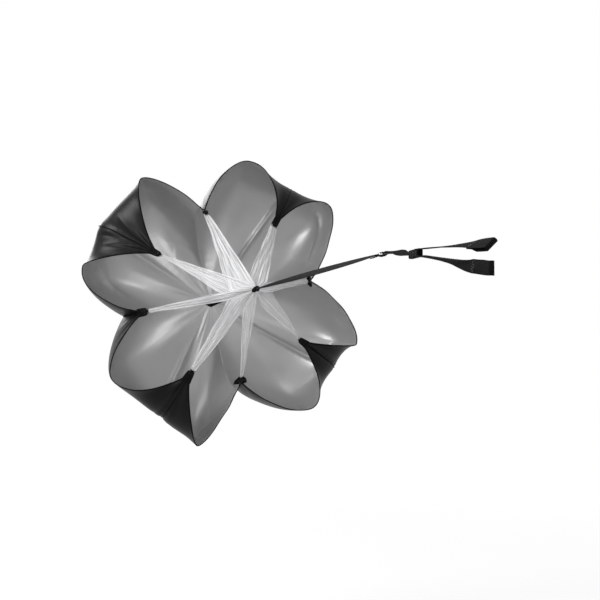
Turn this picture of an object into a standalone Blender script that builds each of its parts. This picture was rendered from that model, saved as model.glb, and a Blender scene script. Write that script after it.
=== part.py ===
"""Speed parachute, inflated and pulled along +X, with +Z up.

Eight gores make a canopy with its mouth facing +X. Its rim is drawn in at eight notches, where mesh lines
run forward to one gather point, the origin. From there a webbing strap goes on along +X to a small ring, a
twisted yoke and two legs, each with a loop for a waist belt.

Notches 2, 4, 6 and 8 are the corners of the canopy, with the longer radial seams. The others are its
sides. Gore 1 lies between notches 1 and 2, and so on round the pull axis. All lengths are in metres.
"""

import math

import bmesh
import bpy
from mathutils import Vector

# Canopy, measured from the pull axis and from the gather point
COUNT = 8
RING_RADIUS = 0.320  # the axis to a notch
LINE_DEPTH = 0.474  # the gather point back to the notches
CANOPY_DEPTH = 0.385  # the notches back to the crown
TIP_RADIUS = 0.540  # the axis to the tip of a lobe
TIP_SETBACK = 0.100  # a tip lies this far behind the notches
CORNER_RADIUS = 0.530  # the widest point behind a corner notch
SIDE_RADIUS = 0.342  # the valley behind a side notch
FIRST_NOTCH_DEG = 103.5
NOTCH_TURNS_DEG = (2.5, 1.5, -2.5, 5.0, -5.0, 1.0, -2.0, -1.0)
NOTCH_SHARES = (1.02, 0.96, 1.0, 1.0, 0.99, 1.01, 1.0, 1.02)
BULGE_SHARES = (1.0, 1.02, 1.1, 0.96, 1.0, 1.0, 1.0, 0.98)
TIP_TURNS_DEG = (-2.5, -2.5, -1.0, -1.0, 6.5, -9.0, 6.0, -3.0)
TIP_SHARES = (1.015, 1.0, 0.965, 1.05, 1.02, 1.035, 1.035, 1.0)

# How each meridian bends: its first handle's radius share, its second handle's place between crown and
# rim as a share, and the share of the curve at which a notch's meridian is widest
TIP_BEND_SHARES = (0.78, 0.42, 1.01)
CORNER_BEND_SHARES = (0.62, 0.52)
SIDE_BEND_SHARES = (0.75, 0.42)
WIDEST_SHARE = 0.7
CORNER_FULLNESS = 2.1  # how round a lobe stays towards a corner notch
SIDE_FULLNESS = 1.15  # and towards a side notch
RIM_FULLNESS = 1.0  # and at its rim, which the lines pull tight
CORNER_RIM_SHARES = (0.75, 0.75, 1.2, 0.75, 1.25, 0.75, 1.35, 1.6)  # of that, on each gore's corner side
SIDE_RIM_SHARES = (0.95, 1.5, 0.9, 0.8, 0.85, 0.9, 0.8, 1.05)  # and on its other side
RIM_REACH_POWER = 3.0  # how near the rim that pull stays
TIP_ROUND = 0.2  # how far the tip's rounding reaches, across half a gore

# Cloth and trim
CLOTH = 0.0018
GAP = 0.0004
EDGE_SHARE = 0.45  # the most of a cell that the gap at a seam may take
CROWN_HOLE = 0.012
BINDING_WIDTH = 0.005
BINDING_THICKNESS = 0.0018
BINDING_END = 0.010  # a rim binding stops this far from a notch
SEAM_THICKNESS = 0.0015
SEAM_HEIGHT = 0.007
SEAM_END_SHARE = 0.5  # of that height, where it meets a notch tab
SEAM_GAP = 0.0003  # a gore's sewn edge stops this short of the seam's plane
SEAM_LIFT = 0.0010  # between a seam binding and the gores
BINDING_GAP = 0.0009  # between a gore and the binding of its rim
PATCH_SIDE = 0.064
PATCH_THICKNESS = 0.0015
PATCH_CELLS = 4
PATCH_LIFT = 0.0012  # the gores' cells lie this much inside their curve there
GORE_COLUMNS = 12
GORE_ROWS = 11
MERIDIAN_STEPS = 80

# Notch tabs
TAB_LENGTH = 0.024
TAB_WIDTH = 0.036  # the widest tab
TAB_WIDTH_SHARES = (0.85, 0.7, 0.8, 0.8, 0.95, 0.7, 0.85, 1.0)
TAB_THICKNESS = 0.0018
TAB_CORNER = 0.0025

# Mesh lines
LINE_WIDTH = 0.080  # the widest part of the widest line
LINE_WIDTH_SHARES = (1.0, 0.85, 0.42, 0.75, 0.65, 1.0, 0.45, 0.75)
LINE_OUTER_WIDTH = 0.018
LINE_OUTER_FOLD = 0.0032  # how deep its folds are inside its tab
LINE_INNER_WIDTH = 0.0032
LINE_CLOTH = 0.0008
LINE_IN_TAB = 0.008  # a line's outer end lies this far inside its tab
LINE_FOLD = 0.0032  # how deep its lengthwise folds are where it is widest
LINE_END_FOLD_SHARE = 0.16
LINE_WIDEST_SHARE = 0.78
LINE_EASE_POWER = 1.15
LINE_LEAN_DEG = 26.0  # the lines overlap like the blades of a fan
LINE_FOLDS = 8
LINE_ROWS = 9

# Gather tab
WRAP_RADIUS = 0.008
WRAP_COLUMNS = 16
WRAP_ROWS = 10
EYE_SIDES = 24
EYE_HOLE = 0.0072
EYE_BAND = 0.002
EYE_HEIGHT = 0.010
EYE_OVERRUN = 0.005  # the hole's cutter stands proud by this much at each side
EYE_SINK = 0.0008  # the eye's rim runs this far into the wrap

# Webbing of the tow strap, the yoke and the legs
WEBBING_WIDTH = 0.025
WEBBING = 0.0018
PLY_STEP = 0.0024  # between the middles of two plies sewn together
STRAP_LENGTH = 1.250  # between the middles of its two end loops
STRAP_TURN_DEG = 47.0
REAR_LOOP_RADIUS = 0.008
REAR_LOOP_WIDTH = 0.010
RING_LOOP_RADIUS = 0.0041
RING_LOOP_WIDTH = 0.007
LOOP_NECK = 0.016  # from a loop's middle to where its two arms meet
LOOP_FOLD = 0.045  # from a loop's middle to the end of the ply folded back
LOOP_TAPER_SHARE = 0.8  # of the full width, halfway along the fold
LOOP_STEPS = 8

# Ring
LINK_RADIUS = 0.007
LINK_WIRE = 0.0012
LINK_SIDES = 8
LINK_STEPS = 24

# Yoke and legs
YOKE_LENGTH = 0.166
YOKE_DROP = 0.0165
BLOCK_LENGTH = 0.050
BLOCK_WIDTH = 0.012
BLOCK_HEIGHT = 0.017
BLOCK_ROUND = 0.0025
BLOCK_ROUND_STEPS = 2
LEG_GAP = 0.0008
LEG_LENGTH = 0.322
UPPER_LEG_START = 0.0068  # above the middle of the block
LOWER_LEG_START = 0.0062  # below it
BELT_GAP = 0.006  # inside a leg's loop for the belt
BELT_LOOP = 0.046
BELT_FOLD = 0.078

# Stations along the yoke and the legs: share of the length, drop as a share of it, turn in degrees
YOKE_STATIONS_SHARES = ((0.0, 0.0, 0), (0.3, 0.02, 12), (0.5, 0.05, 38), (0.68, 0.08, 34), (0.84, 0.1, 14),
                        (1.0, 0.116, 8))
UPPER_LEG_STATIONS_SHARES = ((0.0, 0.0, 4), (0.3, 0.017, 5), (0.5, 0.029, 13), (0.7, 0.041, 24),
                             (0.84, 0.05, 40), (0.92, 0.055, 44), (1.0, 0.06, 44))
LOWER_LEG_STATIONS_SHARES = ((0.0, 0.0, 2), (0.3, 0.043, 4), (0.45, 0.066, 9), (0.58, 0.088, 20),
                             (0.68, 0.107, 42), (0.77, 0.123, 76), (0.84, 0.133, 90), (0.92, 0.144, 90),
                             (1.0, 0.152, 90))
STATION_COUNT = 16
YOKE_TAPER_SHARE = 0.5  # the yoke narrows towards its block from this share of the way

# Places that follow from these sizes
CROWN_X = -LINE_DEPTH - CANOPY_DEPTH
TIP_X = -LINE_DEPTH - TIP_SETBACK
EYE_X = WRAP_RADIUS + EYE_HOLE + EYE_BAND - EYE_SINK
HALF_WEBBING = WEBBING / 2
FOLD_HALF_ANGLE = math.atan(LINE_OUTER_WIDTH / LINE_FOLDS / LINE_OUTER_FOLD)
LINE_OUTER_HEIGHT = LINE_OUTER_FOLD + LINE_CLOTH / math.sin(FOLD_HALF_ANGLE)
TAB_HEIGHT = LINE_OUTER_HEIGHT + 2 * (GAP + TAB_THICKNESS)


def clear_scene():
    for old in list(bpy.data.objects):
        bpy.data.objects.remove(old, do_unlink=True)


def new_collection(name):
    collection = bpy.data.collections.new(name)
    bpy.context.scene.collection.children.link(collection)
    return collection


def new_material(name, color, roughness, metallic=0.0):
    material = bpy.data.materials.new(name)
    material.use_nodes = True
    shader = material.node_tree.nodes["Principled BSDF"]
    shader.inputs["Base Color"].default_value = (*color, 1.0)
    shader.inputs["Roughness"].default_value = roughness
    shader.inputs["Metallic"].default_value = metallic
    return material


clear_scene()
PARTS = new_collection("speed_parachute")
CUTTERS = new_collection("cutters")


def add_object(name, bm, materials, pivot=None, collection=None):
    """A new object from the mesh, with its origin on the pivot that it turns about."""
    pivot = pivot or Vector()
    bmesh.ops.translate(bm, verts=bm.verts, vec=-pivot)
    mesh = bpy.data.meshes.new(name)
    bm.to_mesh(mesh)
    bm.free()
    mesh.shade_smooth()
    for material in materials:
        mesh.materials.append(material)
    piece = bpy.data.objects.new(name, mesh)
    piece.location = pivot
    (collection or PARTS).objects.link(piece)
    return piece


def add_cloth(name, rows, thickness, materials, offset=0.0, pivot=None):
    """A sheet through rows of points, thickened into a closed solid."""
    bm = bmesh.new()
    bmesh.ops.create_grid(bm, x_segments=len(rows[0]) - 1, y_segments=len(rows) - 1)
    for vert, point in zip(bm.verts, [point for row in rows for point in row]):
        vert.co = point
    piece = add_object(name, bm, materials, pivot)
    solidify = piece.modifiers.new("thickness", "SOLIDIFY")
    solidify.thickness = thickness
    solidify.offset = offset
    solidify.use_even_offset = True
    solidify.material_offset = len(materials) - 1
    return piece


def walk(points, distance):
    """The point at a distance along a line of points."""
    for start, end in zip(points, points[1:]):
        step = (end - start).length
        if distance <= step:
            break
        distance -= step
    return start.lerp(end, distance / step)


def length_of(points):
    return sum((b - a).length for a, b in zip(points, points[1:]))


def smooth_between(stations, share):
    """The values at a share of the way, on a smooth curve through the stations."""
    last = len(stations) - 2
    i = max(k for k in range(last + 1) if k == 0 or stations[k][0] <= share)
    start, end = stations[i], stations[i + 1]
    before, after = stations[max(i - 1, 0)], stations[min(i + 2, last + 1)]
    span = end[0] - start[0]
    t = (share - start[0]) / span
    values = []
    for a, b, c, d in zip(before[1:], start[1:], end[1:], after[1:]):
        slope_in = (c - a) / (end[0] - before[0]) * span
        slope_out = (d - b) / (after[0] - start[0]) * span
        rise, ease = 3 * t**2 - 2 * t**3, t**3 - 2 * t**2 + t
        values.append(b + (c - b) * rise + slope_in * ease + slope_out * (t**3 - t**2))
    return values


# Canopy shape
def notch_angle(k):
    return math.radians(FIRST_NOTCH_DEG + 360 / COUNT * k + NOTCH_TURNS_DEG[k % COUNT])


def is_corner(k):
    return k % 2 == 1


def bezier(a, b, c, d, t):
    s = 1 - t
    return tuple(s**3 * p + 3 * s**2 * t * q + 3 * s * t**2 * r + t**3 * u for p, q, r, u in zip(a, b, c, d))


def notch_meridian(k, t):
    """Depth and radius along the seam that ends at a notch, from the crown to the rim."""
    k = k % COUNT
    widest = (CORNER_RADIUS if is_corner(k) else SIDE_RADIUS) * BULGE_SHARES[k]
    first_share, place_share = CORNER_BEND_SHARES if is_corner(k) else SIDE_BEND_SHARES
    rim = (-LINE_DEPTH, RING_RADIUS * NOTCH_SHARES[k])
    first = (CROWN_X, widest * first_share)
    s = 1 - WIDEST_SHARE
    rest = 3 * s**2 * WIDEST_SHARE * first[1] + WIDEST_SHARE**3 * rim[1]
    second_radius = (widest - rest) / (3 * s * WIDEST_SHARE**2)
    second = (CROWN_X + CANOPY_DEPTH * place_share, second_radius)
    return bezier((CROWN_X, 0), first, second, rim, t)


def tip_meridian(gore, t):
    """Depth and radius along the middle of a lobe, from the crown to its tip."""
    radius = TIP_RADIUS * TIP_SHARES[gore]
    first_share, place_share, second_share = TIP_BEND_SHARES
    first = (CROWN_X, radius * first_share)
    second = (CROWN_X + (TIP_X - CROWN_X) * place_share, radius * second_share)
    return bezier((CROWN_X, 0), first, second, (TIP_X, radius), t)


def tip_angle(gore):
    middle = (notch_angle(gore) + notch_angle(gore + 1)) / 2
    return middle + math.radians(TIP_TURNS_DEG[gore])


def canopy_point(gore, across, t):
    """A point of the cloth: across is -1 at the gore's first notch, 0 at its tip and 1 at its next notch."""
    k = gore if across < 0 else gore + 1
    if is_corner(k):
        fullness, rim_share = CORNER_FULLNESS, CORNER_RIM_SHARES[gore]
    else:
        fullness, rim_share = SIDE_FULLNESS, SIDE_RIM_SHARES[gore]
    pull = t**RIM_REACH_POWER
    rim_weight = (math.hypot(across, TIP_ROUND) - TIP_ROUND) / (math.hypot(1, TIP_ROUND) - TIP_ROUND)
    weight = abs(across) ** fullness * (1 - pull) + rim_weight ** (RIM_FULLNESS * rim_share) * pull
    depth, radius = (
        tip + (notch - tip) * weight for tip, notch in zip(tip_meridian(gore, t), notch_meridian(k, t))
    )
    angle = tip_angle(gore)
    angle += (notch_angle(k) - angle) * abs(across)
    return Vector((depth, radius * math.cos(angle), radius * math.sin(angle)))


def meridian(gore, across):
    return [canopy_point(gore, across, i / MERIDIAN_STEPS) for i in range(MERIDIAN_STEPS + 1)]


def columns_along_rim(gore):
    """Places across a gore that lie evenly along its rim."""
    shares = [i / MERIDIAN_STEPS * 2 - 1 for i in range(MERIDIAN_STEPS + 1)]
    rim = [canopy_point(gore, share, 1) for share in shares]
    run = [0.0]
    for a, b in zip(rim, rim[1:]):
        run.append(run[-1] + (b - a).length)
    places = [-1]
    for j in range(1, GORE_COLUMNS):
        distance = run[-1] * j / GORE_COLUMNS
        i = max(k for k in range(MERIDIAN_STEPS) if run[k] <= distance)
        places.append(shares[i] + (shares[i + 1] - shares[i]) * (distance - run[i]) / (run[i + 1] - run[i]))
    return places + [1]


def gore_grid(gore):
    """Rows of points from the crown to the rim, the last two at the edges of the rim binding."""
    lines = [meridian(gore, across) for across in columns_along_rim(gore)]
    ends = [length_of(line) - BINDING_WIDTH for line in lines]
    rows = []
    for i in range(GORE_ROWS + 1):
        share = i / GORE_ROWS
        rows.append([
            walk(line, CROWN_HOLE + (end - BINDING_GAP - CROWN_HOLE) * share) for line, end in zip(lines, ends)
        ])
    rows.append([walk(line, end) for line, end in zip(lines, ends)])
    rows.append([line[-1] for line in lines])
    return rows


def notch_point(k):
    depth, radius = notch_meridian(k, 1)
    angle = notch_angle(k)
    return Vector((depth, radius * math.cos(angle), radius * math.sin(angle)))


def around(k):
    """The direction round the axis at a notch."""
    angle = notch_angle(k)
    return Vector((0, -math.sin(angle), math.cos(angle)))


def seam_outward(k, along):
    """The direction out of the canopy at a seam that runs along a direction."""
    return around(k).cross(along).normalized()


def seam_along(row_points, i):
    before, after = row_points[max(i - 1, 0)], row_points[min(i + 1, len(row_points) - 1)]
    return (after - before).normalized()


def wall_angle(k, along, step):
    """The angle between a gore and the direction out of the seam, seen along the seam."""
    return (step - along * step.dot(along)).angle(seam_outward(k, along))


def draw_in(rows, k, edge, inner):
    """Moves a gore's sewn edge off the seam, so that it and its neighbour keep a gap, inner faces too."""
    seam = [row[edge] for row in rows]
    for i, row in enumerate(rows):
        step = row[inner] - seam[i]
        lean = CLOTH * max(0, -math.cos(wall_angle(k, seam_along(seam, i), step)))
        inset_share = (SEAM_GAP + lean) / abs(step.dot(around(k)))
        row[edge] = seam[i] + step * min(inset_share, EDGE_SHARE)


def make_gore(gore, grid, inside, outside):
    rows = [list(row) for row in grid[:-2]]
    draw_in(rows, gore, 0, 1)
    draw_in(rows, (gore + 1) % COUNT, -1, -2)
    add_cloth(f"gore_{gore + 1}", rows, CLOTH, [outside, inside], offset=-1)


def make_rim_binding(gore, grid, material):
    rows = [list(row) for row in grid[-2:]]
    for row in rows:
        for edge, inner in ((0, 1), (-1, -2)):
            step = row[inner] - row[edge]
            row[edge] = row[edge] + step.normalized() * BINDING_END
    add_cloth(f"rim_binding_{gore + 1}", rows, BINDING_THICKNESS, [material])


def make_seam_binding(k, before, after, material):
    """A bound seam allowance that stands on the outside, from the crown to the notch's tab."""
    before, after = (grid[:-2] + grid[-1:] for grid in (before, after))
    seam = [row[0] for row in after]
    last = len(seam) - 1
    notch, ahead = notch_point(k), line_direction(k)
    bases, tops = [], []
    for i, point in enumerate(seam):
        along = seam_along(seam, i)
        outward = seam_outward(k, along)
        if i == last:
            base = point + outward * SEAM_LIFT
            top = base + outward * SEAM_HEIGHT * SEAM_END_SHARE
            base, top = (p - along * (p - notch).dot(ahead) / along.dot(ahead) for p in (base, top))
        else:
            base = point + outward * max(
                seam_clearance(wall_angle(k, along, walls[j][inner] - point))
                for walls, inner in ((before, -2), (after, 1))
                for j in range(max(i - 1, 0), i + 2)
            )
            top = base + outward * SEAM_HEIGHT
        bases.append(base)
        tops.append(top)
    add_cloth(f"seam_binding_{k + 1}", list(zip(bases, tops)), SEAM_THICKNESS, [material])


def seam_clearance(half_angle):
    """How far off the seam line a binding starts, to stay clear of a wall at this angle to it."""
    return max(SEAM_LIFT, (SEAM_LIFT + SEAM_THICKNESS / 2 * math.cos(half_angle)) / math.sin(half_angle))


def canopy_at(y, z):
    """The point of the cloth near the crown that lies behind a point of the mouth's plane."""
    angle = math.atan2(z, y)
    for gore in range(COUNT):
        lead = (angle - notch_angle(gore)) % math.tau
        if lead < notch_angle(gore + 1) - notch_angle(gore):
            break
    angle = notch_angle(gore) + lead
    tip = tip_angle(gore)
    edge = notch_angle(gore + 1) if angle > tip else notch_angle(gore)
    across = abs((angle - tip) / (edge - tip)) * (1 if angle > tip else -1)
    return walk(meridian(gore, across), math.hypot(y, z))


def make_crown_patch(material):
    """A square patch that stands on its corner, just inside the crown."""
    lift = CLOTH + GAP + PATCH_THICKNESS / 2 + PATCH_LIFT
    rows = []
    for i in range(PATCH_CELLS + 1):
        row = []
        for j in range(PATCH_CELLS + 1):
            p = (j / PATCH_CELLS - 0.5) * PATCH_SIDE
            q = (i / PATCH_CELLS - 0.5) * PATCH_SIDE
            y, z = (p - q) * math.sqrt(0.5), (p + q) * math.sqrt(0.5)
            depth = canopy_at(y, z).x if p or q else CROWN_X
            row.append(Vector((depth + lift, y, z)))
        rows.append(row)
    add_cloth("crown_patch", rows, PATCH_THICKNESS, [material])


# Notch tabs and mesh lines
def line_direction(k):
    """From a notch towards the gather point."""
    return -notch_point(k).normalized()


def make_notch_tab(k, material):
    """A folded tab whose open edge faces the gather point."""
    start, ahead, side = notch_point(k), line_direction(k), around(k)
    across = ahead.cross(side)
    reach, half = TAB_LENGTH, (TAB_HEIGHT - TAB_THICKNESS) / 2
    back = GAP + TAB_THICKNESS / 2
    half_width = TAB_WIDTH * TAB_WIDTH_SHARES[k] / 2
    outline = [
        (reach, half), (back + TAB_CORNER, half), (back, half - TAB_CORNER),
        (back, TAB_CORNER - half), (back + TAB_CORNER, -half), (reach, -half),
    ]
    rows = []
    for forward, up in outline:
        middle = start + ahead * forward + across * up
        rows.append([middle - side * half_width, middle + side * half_width])
    add_cloth(f"notch_tab_{k + 1}", rows, TAB_THICKNESS, [material])


def make_mesh_line(k, material):
    """A strip of netting, gathered at both ends and folded lengthwise."""
    ahead, side = line_direction(k), around(k)
    outer = notch_point(k) + ahead * (TAB_LENGTH - LINE_IN_TAB)
    inner = -ahead * (WRAP_RADIUS + GAP)
    widest = LINE_WIDTH * LINE_WIDTH_SHARES[k]
    rows = []
    for i in range(LINE_ROWS + 1):
        share = i / LINE_ROWS
        if share < LINE_WIDEST_SHARE:
            spread = share / LINE_WIDEST_SHARE
            width = LINE_OUTER_WIDTH + (widest - LINE_OUTER_WIDTH) * spread**LINE_EASE_POWER
        else:
            spread = (1 - share) / (1 - LINE_WIDEST_SHARE)
            width = LINE_INNER_WIDTH + (widest - LINE_INNER_WIDTH) * spread
        lean = math.radians(LINE_LEAN_DEG) * min(1, share / LINE_WIDEST_SHARE)
        broad = side * math.cos(lean) + ahead.cross(side) * math.sin(lean)
        up = broad.cross(ahead)
        fold = LINE_FOLD * max(LINE_END_FOLD_SHARE, min(1, width / widest) if i < LINE_ROWS else 0)
        if i == 0:
            fold = LINE_OUTER_FOLD
        middle = outer.lerp(inner, share)
        rows.append([
            middle + broad * width * (j / LINE_FOLDS - 0.5) + up * fold * (0.5 if j % 2 else -0.5)
            for j in range(LINE_FOLDS + 1)
        ])
    add_cloth(f"mesh_line_{k + 1}", rows, LINE_CLOTH, [material])


def add_cylinder(name, radius, depth, centre, collection, material):
    bm = bmesh.new()
    bmesh.ops.create_cone(
        bm, cap_ends=True, segments=EYE_SIDES, radius1=radius, radius2=radius, depth=depth
    )
    bmesh.ops.translate(bm, verts=bm.verts, vec=centre)
    piece = add_object(name, bm, [material], collection=collection)
    piece.hide_render = True
    piece.display_type = "WIRE"
    return piece


def make_gather_tab(material):
    """A round wrap over the lines' ends, with a flat eye in front for the strap's loop."""
    bm = bmesh.new()
    bmesh.ops.create_uvsphere(bm, u_segments=WRAP_COLUMNS, v_segments=WRAP_ROWS, radius=WRAP_RADIUS)
    piece = add_object("gather_tab", bm, [material])
    centre = Vector((EYE_X, 0, 0))
    rim = add_cylinder("eye_rim", EYE_HOLE + EYE_BAND, EYE_HEIGHT, centre, CUTTERS, material)
    hole = add_cylinder("eye_hole", EYE_HOLE, EYE_HEIGHT + 2 * EYE_OVERRUN, centre, CUTTERS, material)
    for cutter, operation in ((rim, "UNION"), (hole, "DIFFERENCE")):
        boolean = piece.modifiers.new(cutter.name, "BOOLEAN")
        boolean.operation = operation
        boolean.object = cutter


# Webbing
def turned(turn_deg):
    """The direction of a webbing's width, turned from +Y towards +Z about the pull axis."""
    turn = math.radians(turn_deg)
    return Vector((0, math.cos(turn), math.sin(turn)))


def across_of(middle, width, turn_deg):
    broad = turned(turn_deg) * width / 2
    return [middle - broad, middle + broad]


def round_loop(centre, radius, width, ahead):
    """Stations of a strap's end loop, from the ply folded back, round the loop, to the strap itself."""
    forward = Vector((ahead, 0, 0))
    up = Vector((0, 0, 1))
    half_step = PLY_STEP / 2
    stations = [
        (centre + forward * LOOP_FOLD - up * half_step, WEBBING_WIDTH),
        (centre + forward * (LOOP_FOLD + LOOP_NECK) / 2 - up * half_step, WEBBING_WIDTH * LOOP_TAPER_SHARE),
        (centre + forward * LOOP_NECK - up * half_step, width),
    ]
    for i in range(LOOP_STEPS + 1):
        angle = math.pi * i / LOOP_STEPS
        point = centre - (forward * math.sin(angle) + up * math.cos(angle)) * radius
        stations.append((point, width))
    stations += [
        (centre + forward * LOOP_NECK + up * half_step, width),
        (centre + forward * (LOOP_FOLD + LOOP_NECK) / 2 + up * half_step, WEBBING_WIDTH * LOOP_TAPER_SHARE),
        (centre + forward * LOOP_FOLD + up * half_step, WEBBING_WIDTH),
    ]
    return stations


def loop_seat(inner, width):
    """How far a ring's wire lies from the middle of the loop that pulls on it."""
    half = width / 2
    bow = LINK_RADIUS - math.sqrt(LINK_RADIUS**2 - half**2)
    slant = math.cos(math.asin(half / LINK_RADIUS))
    return inner - GAP - LINK_WIRE / slant - bow


REAR_LOOP_INSIDE = REAR_LOOP_RADIUS * math.cos(math.pi / 2 / LOOP_STEPS) - HALF_WEBBING - GAP
EYE_EDGE = math.sqrt(EYE_HOLE**2 - (REAR_LOOP_WIDTH / 2) ** 2)
REAR_LOOP_X = EYE_X + EYE_EDGE + math.sqrt(REAR_LOOP_INSIDE**2 - (EYE_HEIGHT / 2) ** 2)
FRONT_LOOP_X = REAR_LOOP_X + STRAP_LENGTH
RING_SEAT = loop_seat(RING_LOOP_RADIUS - HALF_WEBBING, RING_LOOP_WIDTH)
LINK_PIVOT = Vector((FRONT_LOOP_X + RING_SEAT, 0, 0))
YOKE_PIVOT = LINK_PIVOT + Vector((LINK_RADIUS, 0, 0))
YOKE_LOOP = YOKE_PIVOT + Vector((LINK_RADIUS + RING_SEAT, 0, 0))
BLOCK_START = YOKE_LOOP + Vector((YOKE_LENGTH, 0, -YOKE_DROP))
BLOCK_MIDDLE = BLOCK_START + Vector((BLOCK_LENGTH / 2, 0, 0))
LEG_START = BLOCK_START + Vector((BLOCK_LENGTH + LEG_GAP, 0, 0))
UPPER_PIVOT = LEG_START + Vector((0, 0, UPPER_LEG_START))
LOWER_PIVOT = LEG_START - Vector((0, 0, LOWER_LEG_START))


def make_tow_strap(material):
    rear = Vector((REAR_LOOP_X, 0, 0))
    front = Vector((FRONT_LOOP_X, 0, 0))
    rows = [across_of(point, width, 0) for point, width in round_loop(rear, REAR_LOOP_RADIUS, REAR_LOOP_WIDTH, 1)]
    start, run = rows[-1][0].x, STRAP_LENGTH - 2 * LOOP_FOLD
    level = PLY_STEP / 2
    for i in range(1, STATION_COUNT):
        share = i / STATION_COUNT
        middle = Vector((start + run * share, 0, level))
        rows.append(across_of(middle, WEBBING_WIDTH, STRAP_TURN_DEG * math.sin(math.pi * share)))
    ring_loop = round_loop(front, RING_LOOP_RADIUS, RING_LOOP_WIDTH, -1)
    rows += [across_of(point, width, 0) for point, width in reversed(ring_loop)]
    add_cloth("tow_strap", rows, WEBBING, [material], pivot=Vector((EYE_X, 0, 0)))


def make_ring(material):
    bpy.ops.mesh.primitive_torus_add(
        major_radius=LINK_RADIUS, minor_radius=LINK_WIRE, major_segments=LINK_STEPS, minor_segments=LINK_SIDES
    )
    made = bpy.context.object
    bm = bmesh.new()
    bm.from_mesh(made.data)
    bpy.data.objects.remove(made, do_unlink=True)
    bmesh.ops.translate(bm, verts=bm.verts, vec=YOKE_PIVOT)
    add_object("strap_ring", bm, [material], LINK_PIVOT)


def make_yoke(material):
    rows = [across_of(point, width, 0) for point, width in round_loop(YOKE_LOOP, RING_LOOP_RADIUS, RING_LOOP_WIDTH, 1)]
    start = YOKE_LOOP + Vector((LOOP_FOLD, 0, PLY_STEP / 2))
    end = BLOCK_START - Vector((GAP, 0, 0))
    for i in range(1, STATION_COUNT + 1):
        share = i / STATION_COUNT
        drop_share, turn = smooth_between(YOKE_STATIONS_SHARES, share)
        middle = start.lerp(end, share)
        middle.z = start.z + (end.z - start.z) * drop_share / YOKE_STATIONS_SHARES[-1][1]
        taper = max(0, (share - YOKE_TAPER_SHARE) / (1 - YOKE_TAPER_SHARE))
        rows.append(across_of(middle, WEBBING_WIDTH - (WEBBING_WIDTH - BLOCK_WIDTH) * taper, turn))
    add_cloth("yoke_webbing", rows, WEBBING, [material], pivot=YOKE_PIVOT)


def make_yoke_block(material):
    bm = bmesh.new()
    bmesh.ops.create_cube(bm, size=1)
    bmesh.ops.scale(bm, verts=bm.verts, vec=(BLOCK_LENGTH, BLOCK_WIDTH, BLOCK_HEIGHT))
    bmesh.ops.translate(bm, verts=bm.verts, vec=BLOCK_MIDDLE)
    block = add_object("yoke_block", bm, [material], YOKE_PIVOT)
    bevel = block.modifiers.new("round", "BEVEL")
    bevel.width = BLOCK_ROUND
    bevel.segments = BLOCK_ROUND_STEPS


def make_leg(name, pivot, stations, material):
    """A webbing leg that turns as it goes, folded back at its end into a loop for the belt."""

    def place(share):
        drop_share, turn = smooth_between(stations, share)
        return pivot + Vector((LEG_LENGTH * share, 0, -LEG_LENGTH * drop_share)), turn

    def folded(distance, step):
        middle, turn = place(1 - distance / LEG_LENGTH)
        return across_of(middle + behind(turn) * step, WEBBING_WIDTH, turn)

    def behind(turn):
        return turned(turn).cross(Vector((1, 0, 0)))

    rows = []
    for i in range(STATION_COUNT + 1):
        middle, turn = place((1 - BELT_GAP / LEG_LENGTH) * i / STATION_COUNT)
        rows.append(across_of(middle, WEBBING_WIDTH, turn))
    middle, turn = place(1 - BELT_GAP / LEG_LENGTH)
    radius = (BELT_GAP + WEBBING) / 2
    for i in range(1, LOOP_STEPS):
        angle = math.pi * i / LOOP_STEPS
        step = Vector((math.sin(angle) * radius, 0, 0)) + behind(turn) * (1 - math.cos(angle)) * radius
        rows.append(across_of(middle + step, WEBBING_WIDTH, turn))
    neck = (BELT_LOOP + BELT_FOLD) / 2
    rows.append(folded(BELT_GAP, 2 * radius))
    rows.append(folded(BELT_LOOP / 2, 2 * radius))
    rows.append(folded(BELT_LOOP, 2 * radius))
    rows.append(folded(neck, PLY_STEP))
    rows.append(folded(BELT_FOLD, PLY_STEP))
    add_cloth(name, rows, WEBBING, [material], pivot=pivot)


def main():
    inside = new_material("satin_inside", (0.26, 0.26, 0.26), 0.35)
    outside = new_material("black_cloth", (0.015, 0.015, 0.016), 0.45)
    trim = new_material("black_binding", (0.012, 0.012, 0.012), 0.7)
    webbing = new_material("black_webbing", (0.012, 0.012, 0.013), 0.65)
    netting = new_material("white_netting", (0.8, 0.8, 0.8), 0.6)
    steel = new_material("ring_steel", (0.6, 0.6, 0.62), 0.25, 1.0)
    grids = [gore_grid(gore) for gore in range(COUNT)]
    for k in range(COUNT):
        make_gore(k, grids[k], inside, outside)
        make_rim_binding(k, grids[k], trim)
        make_seam_binding(k, grids[k - 1], grids[k], trim)
        make_notch_tab(k, webbing)
        make_mesh_line(k, netting)
    make_crown_patch(trim)
    make_gather_tab(webbing)
    make_tow_strap(webbing)
    make_ring(steel)
    make_yoke(webbing)
    make_yoke_block(webbing)
    make_leg("upper_leg", UPPER_PIVOT, UPPER_LEG_STATIONS_SHARES, webbing)
    make_leg("lower_leg", LOWER_PIVOT, LOWER_LEG_STATIONS_SHARES, webbing)
    print("link pivot", LINK_PIVOT, "yoke pivot", YOKE_PIVOT)
    print("upper leg", UPPER_PIVOT, "lower leg", LOWER_PIVOT)


main()
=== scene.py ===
# %% [markdown]
# # A speed parachute, filled by the wind
#
# A runner drags this small canopy along as a brake. It is all cloth and webbing: eight curved gores sewn
# edge to edge, eight strips of netting that draw the rim in, one gather point, a tow strap, a ring and two
# legs for a belt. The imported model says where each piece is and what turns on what. This script makes the
# surfaces: folds, hems, weave, stitches and finish. The pull goes along +X, and +Z is up, in metres.

import math

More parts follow.
